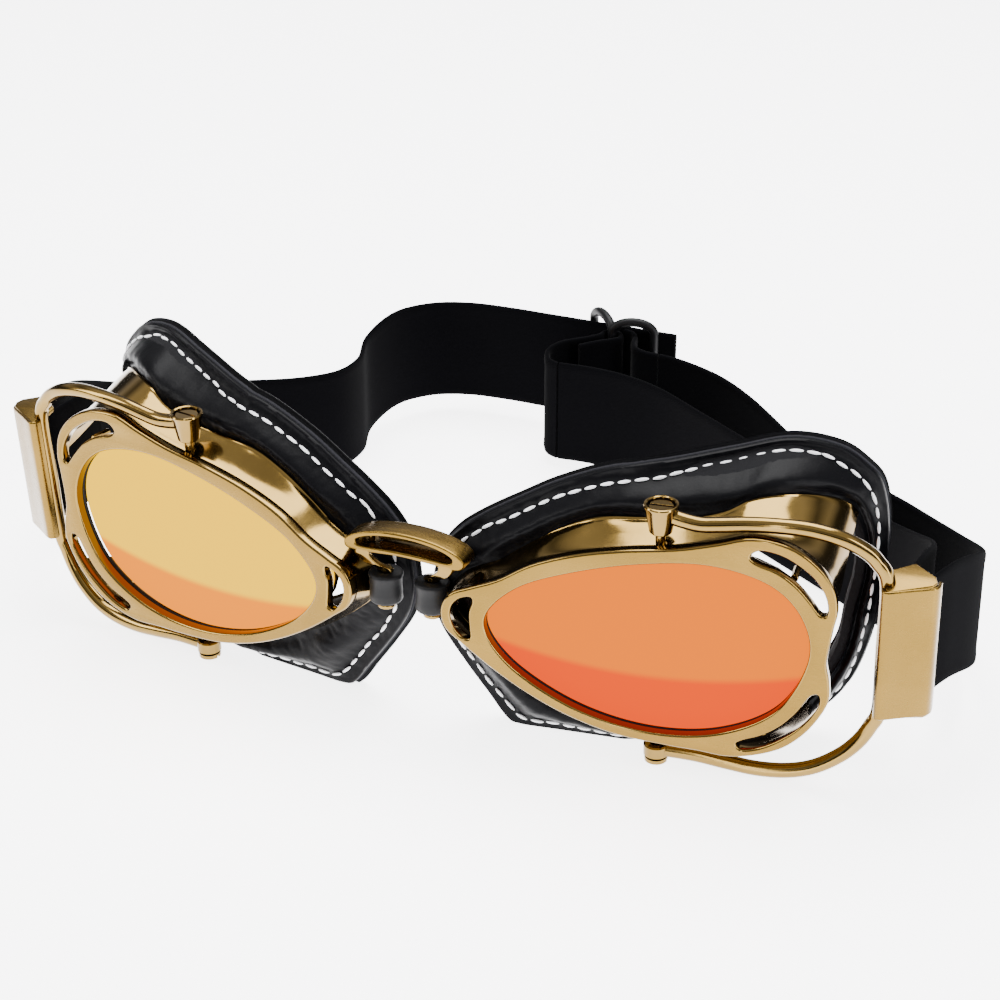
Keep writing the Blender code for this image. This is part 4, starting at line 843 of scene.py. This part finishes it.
for name, node, course, body in (
        ("webbing_left", "strap_webbing_left", STRAP_LEFT, "strap_left"),
        ("webbing_right", "strap_webbing_right", STRAP_RIGHT, "strap_right"),
        ("fold", "strap_fold", STRAP_FOLD, None),
        ("weave", "strap_weave", STRAP_WEAVE, None)):
    route = curve_through([(x, y, 0) for x, y in course], False, 6)
    bm = bmesh.new()
    rows, run = [], [0.0]
    for i, p in enumerate(route):
        along = (route[min(i + 1, len(route) - 1)] - route[max(i - 1, 0)]).normalized()
        across = Vector((-along.y, along.x, 0))
        share = min(max((p.y - 24) / 66, 0.0), 1.0)
        back = min(max((p.y - 118) / 26, 0.0), 1.0)
        clip_low = MID.z + WEB_MIDDLE - WEB_WIDTH / 2
        low = clip_low * (1 - share * share * (3 - 2 * share)) + SLIDER_LIFT * back * back * (3 - 2 * back)
        row = [nose(*(p + across * f).xy, low + WEB_WIDTH * h) for h, f in zip(HIGH, FAT)]
        row += [nose(*(p - across * f).xy, low + WEB_WIDTH * h) for h, f in reversed(list(zip(HIGH, FAT)))]
        rows.append(row)
        if i:
            run.append(run[-1] + (p - route[i - 1]).length)
    tall = [WEB_WIDTH * h for h in HIGH]
    v = tall + list(reversed(tall)) + [0.0]
    skin(bm, rows, uv=(run, v))
    strap = keep("strap_" + name, bm, body, [node], WEBBING, 55)
    if name == "fold":
        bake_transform(strap)
    if name == "weave":
        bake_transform(strap)


# ------------------------------------------------------------------ slider
# A moulded plastic three-bar slider: two tall loops side by side that the strap weaves through.
PLASTIC = plain("black_plastic", (0.003, 0.003, 0.0035), 0.42, 0.15, 2500, specular=0.12)
BAR_RADIUS = 1.15
bars = [Vector(p) for p in ((-23.6, 157.6), (-15.4, 149.6), (-5.0, 152.6))]
for number, (a, b) in enumerate(zip(bars, bars[1:])):
    points = []
    for end, way in ((33.65, 1), (1.15, -1)):
        pair = (a, b) if way > 0 else (b, a)
        for k in range(17):
            angle = math.pi * k / 16
            flat = pair[0].lerp(pair[1], (1 - math.cos(angle)) / 2)
            points.append(nose(flat.x, flat.y, end - way * 3.0 * (1 - math.sin(angle))))
        last = points[-1]
        far = nose(*pair[1], (1.15 + 3.0) if way > 0 else (33.65 - 3.0))
        for k in range(1, 8):
            points.append(last.lerp(far, k / 8))
    bm = bmesh.new()
    bar(bm, points, BAR_RADIUS / 1000, 20, closed=True)
    keep("slider_loop_%d" % (number + 1), bm, "slider", ["slider"] if number == 0 else [], PLASTIC,
         60)


# ------------------------------------------------------------------ the stage
# A pale sweep under soft overhead light, with narrow side lights and dark bands in the sky
# that give the brass its long bright and dark streaks. The camera looks down on the goggles from their left front.
floor_mesh = bpy.data.meshes.new("floor")
floor_bm = bmesh.new()
bmesh.ops.create_grid(floor_bm, x_segments=1, y_segments=1, size=6.0)
floor_bm.to_mesh(floor_mesh)
floor_bm.free()
floor = bpy.data.objects.new("floor", floor_mesh)
bpy.context.scene.collection.objects.link(floor)
floor.location.z = -0.0002
floor_finish = bpy.data.materials.new("floor")
floor_finish.use_nodes = True
floor_shader = floor_finish.node_tree.nodes["Principled BSDF"]
floor_shader.inputs["Base Color"].default_value = (0.93, 0.925, 0.95, 1)
floor_shader.inputs["Emission Color"].default_value = (1.0, 0.995, 1.0, 1)
floor_shader.inputs["Emission Strength"].default_value = 4.4
floor_shader.inputs["Roughness"].default_value = 0.16
floor_shader.inputs["Specular IOR Level"].default_value = 0.35
floor_mesh.materials.append(floor_finish)

camera = bpy.data.objects.new("camera", bpy.data.cameras.new("camera"))
bpy.context.scene.collection.objects.link(camera)
camera.data.sensor_width = 36
camera.data.lens = 86.4
camera.data.clip_start = 0.01
camera.location = Vector((MID.x + 193.7, MID.y - 385.5, MID.z + 230.9)) / 1000
camera.rotation_euler = (math.radians(90 - 25.87), 0, math.radians(24.22))
bpy.context.scene.camera = camera


def soft_light(name, place, aim, size, power, colour=(1, 1, 1), shape_y=None):
    data = bpy.data.lights.new(name, "AREA")
    data.energy = power
    data.color = colour
    data.size = size
    if shape_y:
        data.shape = "RECTANGLE"
        data.size_y = shape_y
    light = bpy.data.objects.new(name, data)
    bpy.context.scene.collection.objects.link(light)
    light.location = place
    light.rotation_euler = (Vector(aim) - Vector(place)).to_track_quat("-Z", "Y").to_euler()


soft_light("overhead", (-0.05, 0.25, 0.9), (0, 0, 0), 0.75, 24.0)
soft_light("key_left", (-0.75, -0.45, 0.55), (0, 0, 0.03), 0.22, 7.0, (1, 0.99, 0.97), 0.7)
soft_light("fill_right", (0.8, -0.25, 0.35), (0, 0, 0.03), 0.16, 6.0, (0.97, 0.98, 1), 0.7)
soft_light("front_strip", (0.15, -0.9, 0.25), (0, 0, 0.03), 0.07, 1.8, (1, 1, 1), 0.7)

sky = bpy.data.worlds.new("studio")
bpy.context.scene.world = sky
sky.use_nodes = True
links, nodes = sky.node_tree.links, sky.node_tree.nodes
coordinates = nodes.new("ShaderNodeTexCoord")
split = nodes.new("ShaderNodeSeparateXYZ")
links.new(coordinates.outputs["Generated"], split.inputs[0])
ramp = nodes.new("ShaderNodeValToRGB")
sky_bands = ((0.0, 0.9), (0.49, 0.9), (0.52, 0.03), (0.64, 0.06), (0.72, 0.7), (0.8, 0.12),
             (0.88, 1.0), (1.0, 0.7))
for number, (place, tone) in enumerate(sky_bands):
    stop = ramp.color_ramp.elements[number] if number < 2 else ramp.color_ramp.elements.new(place)
    stop.position = place
    stop.color = (tone, tone, tone * 1.01, 1)
band = nodes.new("ShaderNodeMapRange")
links.new(split.outputs["Z"], band.inputs["Value"])
band.inputs["From Min"].default_value = -1
band.inputs["From Max"].default_value = 1
links.new(band.outputs["Result"], ramp.inputs["Fac"])
links.new(ramp.outputs["Color"], nodes["Background"].inputs["Color"])
nodes["Background"].inputs["Strength"].default_value = 1.3
